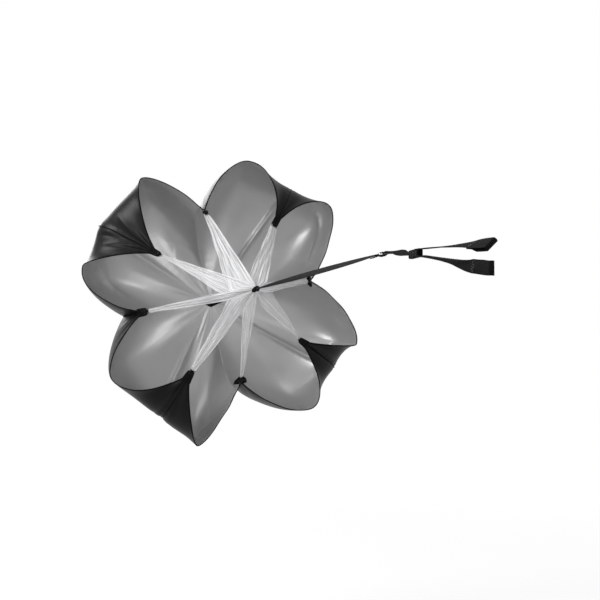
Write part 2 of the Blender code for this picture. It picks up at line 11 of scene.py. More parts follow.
import bmesh
import bpy
import numpy as np
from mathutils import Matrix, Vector


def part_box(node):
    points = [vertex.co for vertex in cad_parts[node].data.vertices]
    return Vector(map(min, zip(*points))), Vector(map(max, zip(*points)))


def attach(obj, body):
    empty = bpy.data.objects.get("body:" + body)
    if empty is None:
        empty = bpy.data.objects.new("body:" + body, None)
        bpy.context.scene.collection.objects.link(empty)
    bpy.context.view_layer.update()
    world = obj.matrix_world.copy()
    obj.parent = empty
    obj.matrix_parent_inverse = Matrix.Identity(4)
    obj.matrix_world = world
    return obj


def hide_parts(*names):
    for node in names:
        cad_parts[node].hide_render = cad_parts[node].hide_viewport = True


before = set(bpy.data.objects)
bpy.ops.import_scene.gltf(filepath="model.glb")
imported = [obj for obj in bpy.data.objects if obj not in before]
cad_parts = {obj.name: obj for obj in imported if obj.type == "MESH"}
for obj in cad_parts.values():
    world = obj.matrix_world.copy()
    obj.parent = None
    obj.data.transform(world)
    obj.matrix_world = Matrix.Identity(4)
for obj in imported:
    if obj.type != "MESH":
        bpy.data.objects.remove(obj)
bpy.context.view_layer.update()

# %% [markdown]
# ## The camera
#
# The picture was taken from beyond the belt end, a little to one side and slightly below the pull axis, so
# it looks into the canopy's open mouth. The camera's place was worked out from the eight notches of the rim,
# whose real places are known, and is written down once.

# %% Place the camera
CAMERA_PLACE = Vector((3.459, -0.748, -0.212))
CAMERA_BEARING_DEG = 14.57  # the view's turn away from the pull axis
CAMERA_RISE_DEG = 2.85  # it looks a little upwards
LENS_MM = 64.55
SENSOR_MM = 36.0
CAMERA_REACH = 60.0


def polar(bearing_deg, rise_deg):
    """A direction from its bearing off -X towards +Y, and its rise."""
    bearing = math.radians(bearing_deg)
    rise = math.radians(rise_deg)
    return Vector((-math.cos(bearing) * math.cos(rise), math.sin(bearing) * math.cos(rise), math.sin(rise)))


def add_object(name, data):
    made = bpy.data.objects.new(name, data)
    bpy.context.scene.collection.objects.link(made)
    return made


def place_camera():
    lens = bpy.data.cameras.new("camera")
    lens.lens = LENS_MM
    lens.sensor_width = SENSOR_MM
    lens.clip_end = CAMERA_REACH
    camera = add_object("camera", lens)
    camera.location = CAMERA_PLACE
    camera.rotation_euler = polar(CAMERA_BEARING_DEG, CAMERA_RISE_DEG).to_track_quat("-Z", "Y").to_euler()
    bpy.context.scene.camera = camera


place_camera()

# %% [markdown]
# ## Shader sums in plain Python
#
# A procedural finish is mostly arithmetic: distances, waves and masks. Wiring that by hand hides the idea,
# so one small class holds a socket and lets ordinary operators add the Math nodes. Any other node comes from
# its one `node` method: the type, the settings, then what each socket holds.

# %% A socket that can be added and multiplied
def operator(operation, swapped=False):
    """The method behind a sign such as +, with the wire on its left or, swapped, on its right."""
    if swapped:
        return lambda wire, other: wire.math(operation, other, wire)
    return lambda wire, other: wire.math(operation, wire, other)


class Wire:
    """A socket in a node tree, used in sums as if it were a number."""

    __add__, __radd__ = operator("ADD"), operator("ADD", swapped=True)
    __sub__, __rsub__ = operator("SUBTRACT"), operator("SUBTRACT", swapped=True)
    __mul__, __rmul__ = operator("MULTIPLY"), operator("MULTIPLY", swapped=True)
    __truediv__, __lt__ = operator("DIVIDE"), operator("LESS_THAN")
    __gt__ = operator("GREATER_THAN")

    def __init__(self, tree, socket=None):
        self.tree = tree
        self.socket = socket

    def node(self, kind, settings=None, sockets=None, output=0):
        made = self.tree.nodes.new("ShaderNode" + kind)
        for name, value in (settings or {}).items():
            setattr(made, name, value)
        for name, value in (sockets or {}).items():
            if isinstance(value, Wire):
                self.tree.links.new(value.socket, made.inputs[name])
            else:
                made.inputs[name].default_value = value
        return Wire(self.tree, made.outputs[output])

    def into(self, socket):
        self.tree.links.new(self.socket, socket)

    def math(self, operation, *values):
        return self.node("Math", {"operation": operation}, dict(enumerate(values)))

    def __abs__(self):
        return self.math("ABSOLUTE", self)


# %% [markdown]
# ## Floor, light and background
#
# Satin and black cloth show their folds by what they mirror. So each of six soft square panels stands where
# some of the lobes, a corner or the back mirrors it towards a viewer. The camera doesn't see the panels
# themselves. The floor and the world are white to the camera and to mirrors, through the Light Path node,
# while the cloth is lit by a dimmer world.

# %% Stage values
FLOOR_HEIGHT = -1.25
FLOOR_SIZE = 60.0
FLOOR_GREY = 0.85
FLOOR_LIFT_NEAR = 0.80  # how much of the floor's white shows by itself under the object
FLOOR_LIFT_FAR = 1.0  # and far away, so that it has no edge against the background
FLOOR_NEAR = 1.0
FLOOR_FAR = 4.5
WORLD_LIGHT = 0.62
CANOPY_MIDDLE = Vector((-0.62, 0.0, 0.0))
PANELS = (  # name, bearing and rise from the canopy, distance, side, watts
    ("left_panel", -62, 7, 3.3, 1.0, 48.0),
    ("front_panel", -5, 8, 3.2, 1.2, 8.0),
    ("high_panel", -38, 52, 3.2, 1.4, 15.0),
    ("top_panel", -84, 38, 3.2, 1.0, 80.0),
    ("right_panel", 34, 0, 3.5, 0.9, 24.0),
    ("back_panel", -165, 26, 3.2, 1.8, 45.0),
)


# %% White where a camera or a mirror looks
def seen_directly(wire):
    """1 for rays from the camera, from a mirror or through glass, and 0 for light on its way to a surface."""
    path = wire.tree.nodes.new("ShaderNodeLightPath")
    seen = Wire(wire.tree, path.outputs["Is Camera Ray"])
    for name in ("Is Glossy Ray", "Is Transmission Ray"):
        seen = seen.math("MAXIMUM", seen, Wire(wire.tree, path.outputs[name]))
    return seen


def light_world():
    world = bpy.data.worlds.new("studio")
    world.use_nodes = True
    background = world.node_tree.nodes["Background"]
    background.inputs["Color"].default_value = (1, 1, 1, 1)
    seen = seen_directly(Wire(world.node_tree))
    (seen * (1 - WORLD_LIGHT) + WORLD_LIGHT).into(background.inputs["Strength"])
    bpy.context.scene.world = world


def floor_finish():
    material = bpy.data.materials.new("pale_floor")
    material.use_nodes = True
    tree = material.node_tree
    tree.nodes.remove(tree.nodes["Principled BSDF"])
    wire = Wire(tree)
    matt = wire.node("BsdfDiffuse", {}, {"Color": (FLOOR_GREY, FLOOR_GREY, FLOOR_GREY, 1)})
    glow = wire.node("Emission", {}, {"Color": (1, 1, 1, 1), "Strength": 1.0})
    place = wire.node("TexCoord", output="Object")
    distance = wire.node("VectorMath", {"operation": "LENGTH"}, {0: place}, "Value")
    lift = wire.node("MapRange", {"interpolation_type": "SMOOTHSTEP"}, {
        "Value": distance, "From Min": FLOOR_NEAR, "From Max": FLOOR_FAR,
        "To Min": FLOOR_LIFT_NEAR, "To Max": FLOOR_LIFT_FAR,
    })
    mixed = wire.node("MixShader", {}, {0: seen_directly(wire) * lift, 1: matt, 2: glow})
    mixed.into(tree.nodes["Material Output"].inputs["Surface"])
    return material


def mesh_from(bm, name):
    mesh = bpy.data.meshes.new(name)
    bm.to_mesh(mesh)
    bm.free()
    return mesh


def lay_floor():
    bm = bmesh.new()
    bmesh.ops.create_grid(bm, x_segments=1, y_segments=1, size=FLOOR_SIZE / 2)
    mesh = mesh_from(bm, "floor")
    mesh.materials.append(floor_finish())
    floor = add_object("floor", mesh)
    floor.location = (0, 0, FLOOR_HEIGHT)


def hang_panel(name, bearing_deg, rise_deg, distance, side, watts):
    lamp = bpy.data.lights.new(name, "AREA")
    lamp.size = side
    lamp.energy = watts
    panel = add_object(name, lamp)
    away = polar(180 - bearing_deg, rise_deg)
    panel.location = CANOPY_MIDDLE + away * distance
    panel.rotation_euler = (-away).to_track_quat("-Z", "Y").to_euler()
    panel.visible_camera = False


bpy.context.scene.view_settings.view_transform = "Standard"
light_world()
lay_floor()
for panel in PANELS:
    hang_panel(*panel)

# %% [markdown]
# ## Coordinates that follow the cloth
#
# A weave must run along the strap or the gore, however it twists, so world coordinates are no use. Every
# sheet and tape made below stores a vector called `cloth` on its points: metres along the piece, metres
# across it, and a share from its first edge to its last. The finishes read that vector and soft noise, and
# the netting's also reads a number per strip that scales its alpha. That number is partly how dense a strip
# is and partly painted shade: the lower strips are made more see-through, so they look greyer.

# %% Start a finish
def make_finish(name, pattern, metallic=0.0, specular=0.5):
    """A material from a pattern, which is a function that makes what the shader's sockets take."""
    material = bpy.data.materials.new(name)
    material.use_nodes = True
    sockets = material.node_tree.nodes["Principled BSDF"].inputs
    values = {"Metallic": metallic, "Specular IOR Level": specular} | pattern(Wire(material.node_tree))
    for socket, value in values.items():
        if isinstance(value, Wire):
            value.into(sockets[socket])
        else:
            sockets[socket].default_value = value
    return material


def cloth_places(wire):
    """Metres along, metres across, and the share across, on whatever piece wears the finish."""
    place = wire.node("Attribute", {"attribute_name": "cloth"}, output="Vector")
    split = wire.tree.nodes.new("ShaderNodeSeparateXYZ")
    place.into(split.inputs[0])
    return [Wire(wire.tree, split.outputs[axis]) for axis in "XYZ"]


def noise(wire, scale, detail=3.0):
    """Soft noise fixed to the object, from 0 to 1."""
    place = wire.node("TexCoord", output="Object")
    return wire.node("TexNoise", {}, {"Vector": place, "Scale": scale, "Detail": detail}, "Fac")


def wave(value, pitch):
    """A sine from -1 to 1 that comes back once in every pitch."""
    turns = value * (math.tau / pitch)
    return turns.math("SINE", turns)


def tint(wire, share, dark, light):
    """A colour between two, by a share from 0 to 1."""
    return wire.node("Mix", {"data_type": "RGBA"}, {0: share, 6: (*dark, 1), 7: (*light, 1)}, 2)


def bump(wire, height, distance):
    return wire.node("Bump", {}, {"Height": height, "Distance": distance, "Strength": 1.0})


# %% [markdown]
# ## Canopy cloth
#
# The gores are a light polyester with a silvery satin coating on the inside and plain black dye outside.
# Coated cloth is neither paint nor metal. A little metallic weight gives the broad soft highlights, and a
# fine crossed weave breaks them up. Slow noise in the colour and the roughness keeps large areas alive.

# %% Satin inside, black outside
WEAVE_PITCH = 0.0011
WEAVE_DEPTH = 0.00001
RIPPLE_SCALE = 34.0
RIPPLE_DEPTH = 0.00035
SATIN_DARK = (0.30, 0.30, 0.302)
SATIN_LIGHT = (0.35, 0.35, 0.352)
BLACK_DARK = (0.002, 0.002, 0.0022)
BLACK_LIGHT = (0.005, 0.005, 0.0053)


def cloth_pattern(dark, light, patches, roughness, spread):
    """Weave, a faint ripple, and slow noise, with so many patches to a metre, in the colour and roughness."""
    def pattern(wire):
        along, across, _ = cloth_places(wire)
        weave = wave(along, WEAVE_PITCH) * wave(across, WEAVE_PITCH) * WEAVE_DEPTH
        slow = noise(wire, patches)
        return {
            "Base Color": tint(wire, slow, dark, light),
            "Roughness": slow * spread + roughness,
            "Normal": bump(wire, weave + noise(wire, RIPPLE_SCALE, detail=2.0) * RIPPLE_DEPTH, 1.0),
        }
    return pattern


satin_pattern = cloth_pattern(SATIN_DARK, SATIN_LIGHT, patches=5.0, roughness=0.28, spread=0.06)
black_pattern = cloth_pattern(BLACK_DARK, BLACK_LIGHT, patches=6.0, roughness=0.30, spread=0.10)
SATIN = make_finish("satin_inside", satin_pattern, metallic=0.3)
BLACK_CLOTH = make_finish("black_outside", black_pattern, specular=0.08)

# %% [markdown]
# ## Tapes, webbing, netting, thread and steel
#
# Webbing has ribs that slant away from its middle on both sides, which makes the herringbone. Binding tape is
# the same idea, finer and straight, with a row of stitches along it. Netting is a grid of holes too small to
# see from a step away, so its alpha carries the holes, and brighter lengthwise streaks stand for the places
# where it lies double.

# %% Webbing and tape
RIB_PITCH = 0.0019
RIB_SLANT = 1.6
RIB_DEPTH = 0.00005
YARN_PITCH = RIB_PITCH * 0.8
TAPE_RIB_PITCH = RIB_PITCH * 0.6
TAPE_RIB_HEIGHT = 0.2  # beside a stitch's
STITCH_PITCH = 0.0042
STITCH_SHARE = 0.62  # the thread shows for this much of each pitch
STITCH_ROW = 0.72  # the row's place across the tape
STITCH_ROW_REACH = 0.045
TAPE_DEPTH = 0.0003
WEBBING_DARK = (0.0025, 0.0025, 0.0027)
WEBBING_LIGHT = (0.008, 0.008, 0.0085)
TAPE_DARK = (0.004, 0.004, 0.0043)
TAPE_THREAD = (0.02, 0.02, 0.021)


def webbing_pattern(wire):
    along, across, _ = cloth_places(wire)
    ribs = wave(along + abs(across) * RIB_SLANT, RIB_PITCH)
    yarns = wave(across, YARN_PITCH)
    shade = ribs * 0.3 + noise(wire, 60.0) * 0.5 + 0.1
    return {
        "Base Color": tint(wire, shade, WEBBING_DARK, WEBBING_LIGHT),
        "Roughness": ribs * 0.06 + 0.7,
        "Normal": bump(wire, ribs + yarns * 0.5, RIB_DEPTH),
    }


def tape_pattern(wire):
    along, _, share = cloth_places(wire)
    in_stitch = wire.math("FRACT", along / STITCH_PITCH) < STITCH_SHARE
    thread = (abs(share - STITCH_ROW) < STITCH_ROW_REACH) * in_stitch
    return {
        "Base Color": tint(wire, thread, TAPE_DARK, TAPE_THREAD),
        "Roughness": 0.7,
        "Normal": bump(wire, wave(along, TAPE_RIB_PITCH) * TAPE_RIB_HEIGHT + thread, TAPE_DEPTH),
    }


WEBBING_BLACK = make_finish("black_webbing", webbing_pattern, specular=0.02)
TAPE_BLACK = make_finish("black_tape", tape_pattern, specular=0.02)

# %% Netting
NET_PITCH = 0.0024
NET_STRAND = 0.35
NET_STRAND_ALPHA = 0.12  # how much a strand adds to the alpha
NET_CLEAR = 0.42  # alpha of one layer
NET_DOUBLE = 0.90  # alpha where it lies double
NET_HEM = 0.55  # how much of that its edges have
NET_HEM_START = 0.46  # from the middle, as a share of the width
NET_STREAKS = (2.5, 13.0, 4.0)  # how fast they change along the strip, with the share across, and across
NET_STREAK_CONTRAST = 2.4
NET_STREAK_START = 0.9
NET_DEPTH = 0.0006
NET_DARK = (0.56, 0.56, 0.57)
NET_LIGHT = (0.73, 0.73, 0.73)


def netting_pattern(wire):
    along, across, share = cloth_places(wire)
    left = abs(wave(along + across, NET_PITCH)) < NET_STRAND
    right = abs(wave(along - across, NET_PITCH)) < NET_STRAND
    strands = wire.math("MAXIMUM", left, right)
    scaled = [value * fast for value, fast in zip((along, share, across), NET_STREAKS)]
    place = wire.node("CombineXYZ", {}, dict(enumerate(scaled)))
    streak = wire.node("TexNoise", {}, {"Vector": place, "Scale": 1.0, "Detail": 2.0}, "Fac")
    streak = wire.node("Clamp", {}, {"Value": streak * NET_STREAK_CONTRAST - NET_STREAK_START})
    double = wire.math("MAXIMUM", streak, (abs(share - 0.5) > NET_HEM_START) * NET_HEM)
    # A number per strip scales the alpha: partly the strip's density, partly painted shade that makes the
    # lower strips more see-through and greyer.
    density_and_shade = wire.node("Attribute", {"attribute_name": "density_and_shade"}, output="Fac")
    alpha = double * (NET_DOUBLE - NET_CLEAR) + strands * NET_STRAND_ALPHA + (NET_CLEAR - NET_STRAND_ALPHA / 2)
    return {
        "Base Color": tint(wire, double, NET_DARK, NET_LIGHT),
        "Roughness": 0.5,
        "Alpha": alpha * density_and_shade,
        "Normal": bump(wire, streak + strands * 0.2, NET_DEPTH),
    }


NETTING_WHITE = make_finish("white_netting", netting_pattern, specular=0.35)


# %% Thread and steel
THREAD_DARK = (0.018, 0.018, 0.019)
THREAD_LIGHT = (0.05, 0.05, 0.052)
STEEL_DARK = (0.60, 0.60, 0.62)
STEEL_LIGHT = (0.80, 0.80, 0.81)
STEEL_DEPTH = 0.00005


def thread_pattern(wire):
    twist = noise(wire, 900.0, detail=1.0)
    return {"Base Color": tint(wire, twist, THREAD_DARK, THREAD_LIGHT), "Roughness": 0.45}


def steel_pattern(wire):
    rub = noise(wire, 220.0, detail=4.0)
    return {
        "Base Color": tint(wire, rub, STEEL_DARK, STEEL_LIGHT),
        "Roughness": rub * 0.22 + 0.14,
        "Normal": bump(wire, rub, STEEL_DEPTH),
    }


THREAD = make_finish("black_thread", thread_pattern)
STEEL = make_finish("ring_steel", steel_pattern, metallic=1.0)
print("finishes", [m.name for m in bpy.data.materials])

# %% [markdown]
# ## Three ways to make a mesh
#
# Nearly every piece here is either a sheet, a tape that follows a path, or a row of stitches. A sheet starts
# as Blender's grid, takes its points from an array and gets its thickness from Solidify. A tape carries a
# small closed outline along a path. Both store the `cloth` vector. Numpy does the arithmetic on whole arrays
# at once, which keeps a canopy of many thousand points quick.

# %% Finish an object
PULL, SIDEWAYS, UPWARD = np.eye(3)


def add_piece(name, mesh, materials, body, node=None):
    """A piece that rides on a body and wears a slot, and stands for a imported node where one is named."""
    for material in materials:
        mesh.materials.append(material)
    mesh.shade_smooth()
    piece = add_object(name, mesh)
    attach(piece, body)
    if node:
        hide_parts(node)
    return piece


def store_cloth(mesh, along, across, share):
    layer = mesh.attributes.new("cloth", "FLOAT_VECTOR", "POINT")
    values = np.stack([np.ravel(along), np.ravel(across), np.ravel(share)], axis=-1)
    layer.data.foreach_set("vector", np.ascontiguousarray(values, np.float32).ravel())


# %% A sheet
def steps_along(points, axis):
    """Distances between neighbouring points of a grid, added up along one of its axes."""
    steps = np.linalg.norm(np.diff(points, axis=axis), axis=-1)
    start = np.zeros_like(np.take(steps, [0], axis=axis))
    return np.concatenate([start, np.cumsum(steps, axis=axis)], axis=axis)


def grid_area(points):
    a = points[1:, 1:] - points[:-1, :-1]
    b = points[1:, :-1] - points[:-1, 1:]
    return float(np.linalg.norm(np.cross(a, b), axis=-1).sum() / 2)


def add_sheet(name, points, thickness, materials, body, node, offset=0.0, even=True):
    """A cloth sheet through a grid of points. With two materials, the second is on the inner face."""
    rows, columns = points.shape[:2]
    bm = bmesh.new()
    bmesh.ops.create_grid(bm, x_segments=columns - 1, y_segments=rows - 1)
    mesh = mesh_from(bm, name)
    mesh.vertices.foreach_set("co", np.ascontiguousarray(points, np.float32).ravel())
    across = steps_along(points, 1)
    middle = across - across[:, -1:] / 2
    share = np.broadcast_to(np.linspace(0, 1, columns), (rows, columns))
    store_cloth(mesh, steps_along(points, 0), middle, share)
    piece = add_piece(name, mesh, materials, body, node)
    solidify = piece.modifiers.new("thickness", "SOLIDIFY")
    solidify.thickness = thickness
    solidify.offset = offset
    solidify.use_even_offset = even
    solidify.material_offset = len(materials) - 1
    solidify.material_offset_rim = len(materials) - 1
    return piece


def declare_sheet(points):
    """Measures how large a sheet is when it lies flat, along its own points. The result is not kept or used.
    """
    area = grid_area(points)


# %% A tape along a path
def unit(vectors):
    return vectors / np.linalg.norm(vectors, axis=-1, keepdims=True)


def flat_outline(width, thickness, round_share=0.5, steps=4):
    """The outline of a woven tape: flat faces and rounded selvedges, as (across, up) points."""
    radius = thickness / 2
    reach = width / 2 - radius * round_share
    turns = np.linspace(-math.pi / 2, math.pi / 2, steps + 1)
    right = [(reach + radius * round_share * math.cos(a), radius * math.sin(a)) for a in turns]
    left = [(-x, -y) for x, y in right]
    return np.array(right + left)


def skinned_mesh(name, solids):
    """One mesh of solids, each a row of rings of points, joined by faces and closed at both ends."""
    bm = bmesh.new()
    for rings in solids:
        rings = [[bm.verts.new(point) for point in ring] for ring in rings]
        for a, b in zip(rings, rings[1:]):
            for i in range(len(a)):
                j = (i + 1) % len(a)
                bm.faces.new((a[i], b[i], b[j], a[j]))
        bm.faces.new(rings[0])
        bm.faces.new(reversed(rings[-1]))
    bmesh.ops.recalc_face_normals(bm, faces=bm.faces)
    return mesh_from(bm, name)


def add_tape(name, path, sides, outline, material, body, node=None, widths=None):
    """Carries an outline along a path. The sides are its width directions, and widths scale it."""
    path = np.asarray(path, float)
    along = unit(np.gradient(path, axis=0))
    sides = unit(sides - along * (sides * along).sum(-1, keepdims=True))
    ups = np.cross(sides, along)
    widths = np.ones(len(path)) if widths is None else widths
    across = outline[None, :, 0] * widths[:, None]
    rings = path[:, None] + across[..., None] * sides[:, None] + outline[None, :, 1, None] * ups[:, None]
    mesh = skinned_mesh(name, [rings])
    run = steps_along(path, 0)
    low, high = outline[:, 0].min(), outline[:, 0].max()
    share = np.broadcast_to((outline[:, 0] - low) / (high - low), across.shape)
    store_cloth(mesh, np.broadcast_to(run[:, None], across.shape), across, share)
    add_piece(name, mesh, [material], body, node)


# %% Rows of stitches
THREAD_RADIUS = 0.00035
THREAD_SIDES = 5
THREAD_ARCH_SHARES = (0.0, 1.0, 0.0)  # how far a stitch stands up at its start, middle and end
THREAD_SINK = 0.2  # and how deep it lies in the cloth


def stitch_row(start, end, up, pitch=STITCH_PITCH):
    """Short straight stitches from one point to another, as (start, end, up) triples."""
    count = max(1, round(float(np.linalg.norm(end - start)) / pitch))
    step = (end - start) / count
    return [(start + step * i, start + step * (i + STITCH_SHARE), up) for i in range(count)]


def outline_rows(corners, up):
    """Stitches round the sides of a shape, by its corners."""
    return [stitch for a, b in zip(corners, corners[1:] + corners[:1]) for stitch in stitch_row(a, b, up)]


def add_stitches(name, rows, body):
    """All the stitches of one seam as one piece, each a small arch of thread."""
    angles = [math.tau * j / THREAD_SIDES for j in range(THREAD_SIDES)]
    stitches = []
    for start, end, up in rows:
        side = unit(np.cross(unit(end - start), up))
        ring = np.array([side * math.cos(a) + up * math.sin(a) for a in angles]) * THREAD_RADIUS
        lifts = [up * THREAD_RADIUS * (arch - THREAD_SINK) for arch in THREAD_ARCH_SHARES]
        middles = [start + (end - start) * i / (len(lifts) - 1) + lift for i, lift in enumerate(lifts)]
        stitches.append([middle + ring for middle in middles])
    add_piece(name, skinned_mesh(name, stitches), [THREAD], body)


# %% [markdown]
# ## The canopy's curves
#
# The gores aren't round. Each notch of the rim is pulled towards the gather point, and between the notches
# the cloth blows out into a lobe. Two kinds of curve from the crown to the rim hold that shape: one along
# the middle of a lobe and one along a seam. Across a gore, the cloth passes from one curve to the other.
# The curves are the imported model's. Between them the lobes are a little rounder here, and far finer.

# %% Canopy values
COUNT = 8
RING_RADIUS = 0.320
LINE_DEPTH = 0.474
CANOPY_DEPTH = 0.385
TIP_RADIUS = 0.540
TIP_SETBACK = 0.100
CORNER_RADIUS = 0.530
SIDE_RADIUS = 0.342
FIRST_NOTCH_DEG = 103.5
NOTCH_TURNS_DEG = (2.5, 1.5, -2.5, 5.0, -5.0, 1.0, -2.0, -1.0)
NOTCH_SHARES = (1.02, 0.96, 1.0, 1.0, 0.99, 1.01, 1.0, 1.02)
BULGE_SHARES = (1.0, 1.02, 1.1, 0.96, 1.0, 1.0, 1.0, 0.98)
TIP_TURNS_DEG = (-2.5, -2.5, -1.0, -1.0, 6.5, -9.0, 6.0, -3.0)
TIP_SHARES = (1.015, 1.0, 0.965, 1.05, 1.02, 1.035, 1.035, 1.0)
TIP_BEND_SHARES = (0.78, 0.42, 1.01)
CORNER_BEND_SHARES = (0.62, 0.52)
SIDE_BEND_SHARES = (0.75, 0.42)
WIDEST_SHARE = 0.7
CORNER_FULLNESS = 2.1
SIDE_FULLNESS = 0.9
CORNER_RIM_SHARES = (0.75, 0.75, 1.2, 0.75, 1.25, 0.75, 1.35, 1.6)  # the rim's fullness at its corner end
SIDE_RIM_SHARES = (0.95, 1.5, 0.9, 0.8, 0.85, 0.9, 0.8, 1.05)  # and at its side end
RIM_REACH_POWER = 3.0
TIP_ROUND = 0.2
LOBE_ROUND = 0.45  # the same rounding, deeper in the lobe
CROWN_X = -LINE_DEPTH - CANOPY_DEPTH
TIP_X = -LINE_DEPTH - TIP_SETBACK
FINE_STEPS = 160


# %% Curves from crown to rim
def notch_angle(k):
    return math.radians(FIRST_NOTCH_DEG + 360 / COUNT * k + NOTCH_TURNS_DEG[k % COUNT])


def tip_angle(gore):
    return (notch_angle(gore) + notch_angle(gore + 1)) / 2 + math.radians(TIP_TURNS_DEG[gore])


def bezier(a, b, c, d, t):
    a, b, c, d = (np.array(p, float)[:, None] for p in (a, b, c, d))
    return (1 - t) ** 3 * a + 3 * (1 - t) ** 2 * t * b + 3 * (1 - t) * t**2 * c + t**3 * d


def notch_curve(k, t):
    """Depth and radius along the seam that ends at a notch."""
    k = k % COUNT
    corner = k % 2 == 1
    widest = (CORNER_RADIUS if corner else SIDE_RADIUS) * BULGE_SHARES[k]
    first_share, place_share = CORNER_BEND_SHARES if corner else SIDE_BEND_SHARES
    rim = (-LINE_DEPTH, RING_RADIUS * NOTCH_SHARES[k])
    first = (CROWN_X, widest * first_share)
    s = 1 - WIDEST_SHARE
    rest = 3 * s**2 * WIDEST_SHARE * first[1] + WIDEST_SHARE**3 * rim[1]
    second = (CROWN_X + CANOPY_DEPTH * place_share, (widest - rest) / (3 * s * WIDEST_SHARE**2))
    return bezier((CROWN_X, 0), first, second, rim, t)


def tip_curve(gore, t):
    """Depth and radius along the middle of a lobe."""
    radius = TIP_RADIUS * TIP_SHARES[gore]
    first_share, place_share, second_share = TIP_BEND_SHARES
    second = (CROWN_X + (TIP_X - CROWN_X) * place_share, radius * second_share)
    return bezier((CROWN_X, 0), (CROWN_X, radius * first_share), second, (TIP_X, radius), t)


def rounded(across, reach):
    """0 at the middle and 1 at the edges, like a V with its point rounded off."""
    return (math.hypot(across, reach) - reach) / (math.hypot(1, reach) - reach)


def meridian(gore, across, t):
    """The cloth from crown to rim, at a share across the gore from -1 at its first notch to 1 at its next."""
    k = gore if across < 0 else gore + 1
    corner = k % 2 == 1
    deep = abs(across) ** CORNER_FULLNESS if corner else rounded(across, LOBE_ROUND) ** SIDE_FULLNESS
    rim_share = (CORNER_RIM_SHARES if corner else SIDE_RIM_SHARES)[gore]
    pull = t**RIM_REACH_POWER
    weight = deep * (1 - pull) + rounded(across, TIP_ROUND) ** rim_share * pull
    tip = tip_curve(gore, t)
    depth, radius = tip + (notch_curve(k, t) - tip) * weight
    angle = tip_angle(gore)
    angle += (notch_angle(k) - angle) * abs(across)
    return np.stack([depth, radius * math.cos(angle), radius * math.sin(angle)], axis=-1)


def notch_point(k):
    depth, radius = notch_curve(k, np.array([1.0]))[:, 0]
    angle = notch_angle(k)
    return np.array([depth, radius * math.cos(angle), radius * math.sin(angle)])


def around(k):
    angle = notch_angle(k)
    return np.array([0, -math.sin(angle), math.cos(angle)])


def ahead(k):
    """From a notch towards the gather point."""
    return -unit(notch_point(k))


# %% A gore's grid of points
GORE_COLUMNS = 96
GORE_ROWS = 108
CROWN_GAP = 0.003


def resample(points, distances):
    """Points at given distances along a line of points."""
    run = steps_along(points, 0)
    return np.stack([np.interp(distances, run, points[:, axis]) for axis in range(3)], axis=-1)


def shares_along_rim(gore):
    shares = np.linspace(-1, 1, FINE_STEPS + 1)
    rim = np.array([meridian(gore, share, np.array([1.0]))[0] for share in shares])
    run = steps_along(rim, 0)
    return np.interp(np.linspace(0, run[-1], GORE_COLUMNS + 1), run, shares)


def gore_grid(gore):
    t = np.linspace(0, 1, FINE_STEPS + 1)
    columns = []
    for share in shares_along_rim(gore):
        line = meridian(gore, share, t)
        length = steps_along(line, 0)[-1]
        columns.append(resample(line, np.linspace(CROWN_GAP, length, GORE_ROWS + 1)))
    return np.stack(columns, axis=1)


GRIDS = [gore_grid(gore) for gore in range(COUNT)]
print("gore lengths", [round(float(steps_along(g, 0)[-1].max()), 3) for g in GRIDS])

# %% [markdown]
# ## Wrinkles
#
# A filled canopy is smooth where the wind holds it and wrinkled where sewing or pull gathers it. So the
# folds come from causes: a pucker on each side of every seam, a fan of tension folds from each notch, small
# pleats at the crown, a slow swell and a few long creases. Each is a height along the cloth's normal, made
# from distances in metres. All fade to nothing on the seams, so that the gores still meet.

# %% Wrinkle values
PUCKER_HEIGHT = 0.0009
PUCKER_START = 0.16  # no puckers nearer the crown than about this
PUCKER_PITCH = 0.030
PUCKER_REACH = 0.022
PUCKER_TURN = 2.3  # from each seam to the next
PUCKER_DRIFT = 0.8
PUCKER_DRIFT_LENGTH = 0.11
FAN_HEIGHTS = (0.0008, 0.0060)  # at a side notch, at a corner notch
FAN_COUNT = 13
FAN_REACH = 0.25
FAN_PEAK = 0.10  # the folds are deepest this far from the notch
FAN_TURN = 1.3  # from each notch to the next
FAN_FADE = 0.5  # away from the seam
FAN_SEAM_ROWS = 12  # the rows that give the seam's direction
FINE_FAN_HEIGHT = 0.0007
FINE_FAN_COUNT = 31
FINE_FAN_PEAK = 0.045
FINE_FAN_TURN = 2.1
CROWN_PLEAT_HEIGHT = 0.0001
CROWN_PLEATS = 6
CROWN_PLEAT_PEAK = 0.05
SWELL_HEIGHT = 0.0020
SWELL_WAVES = ((9.0, 4.2, 1.7), (0.0, 3.4 * math.pi, 0.9))  # turn along, across, and from gore to gore
SWELL_REACH = 0.42
SEAM_HOLD = 0.012
CREASE_STEPS = 40
CREASE_END = 0.06
CREASE_POWER = 1.5  # 1 would be a tent's straight sides
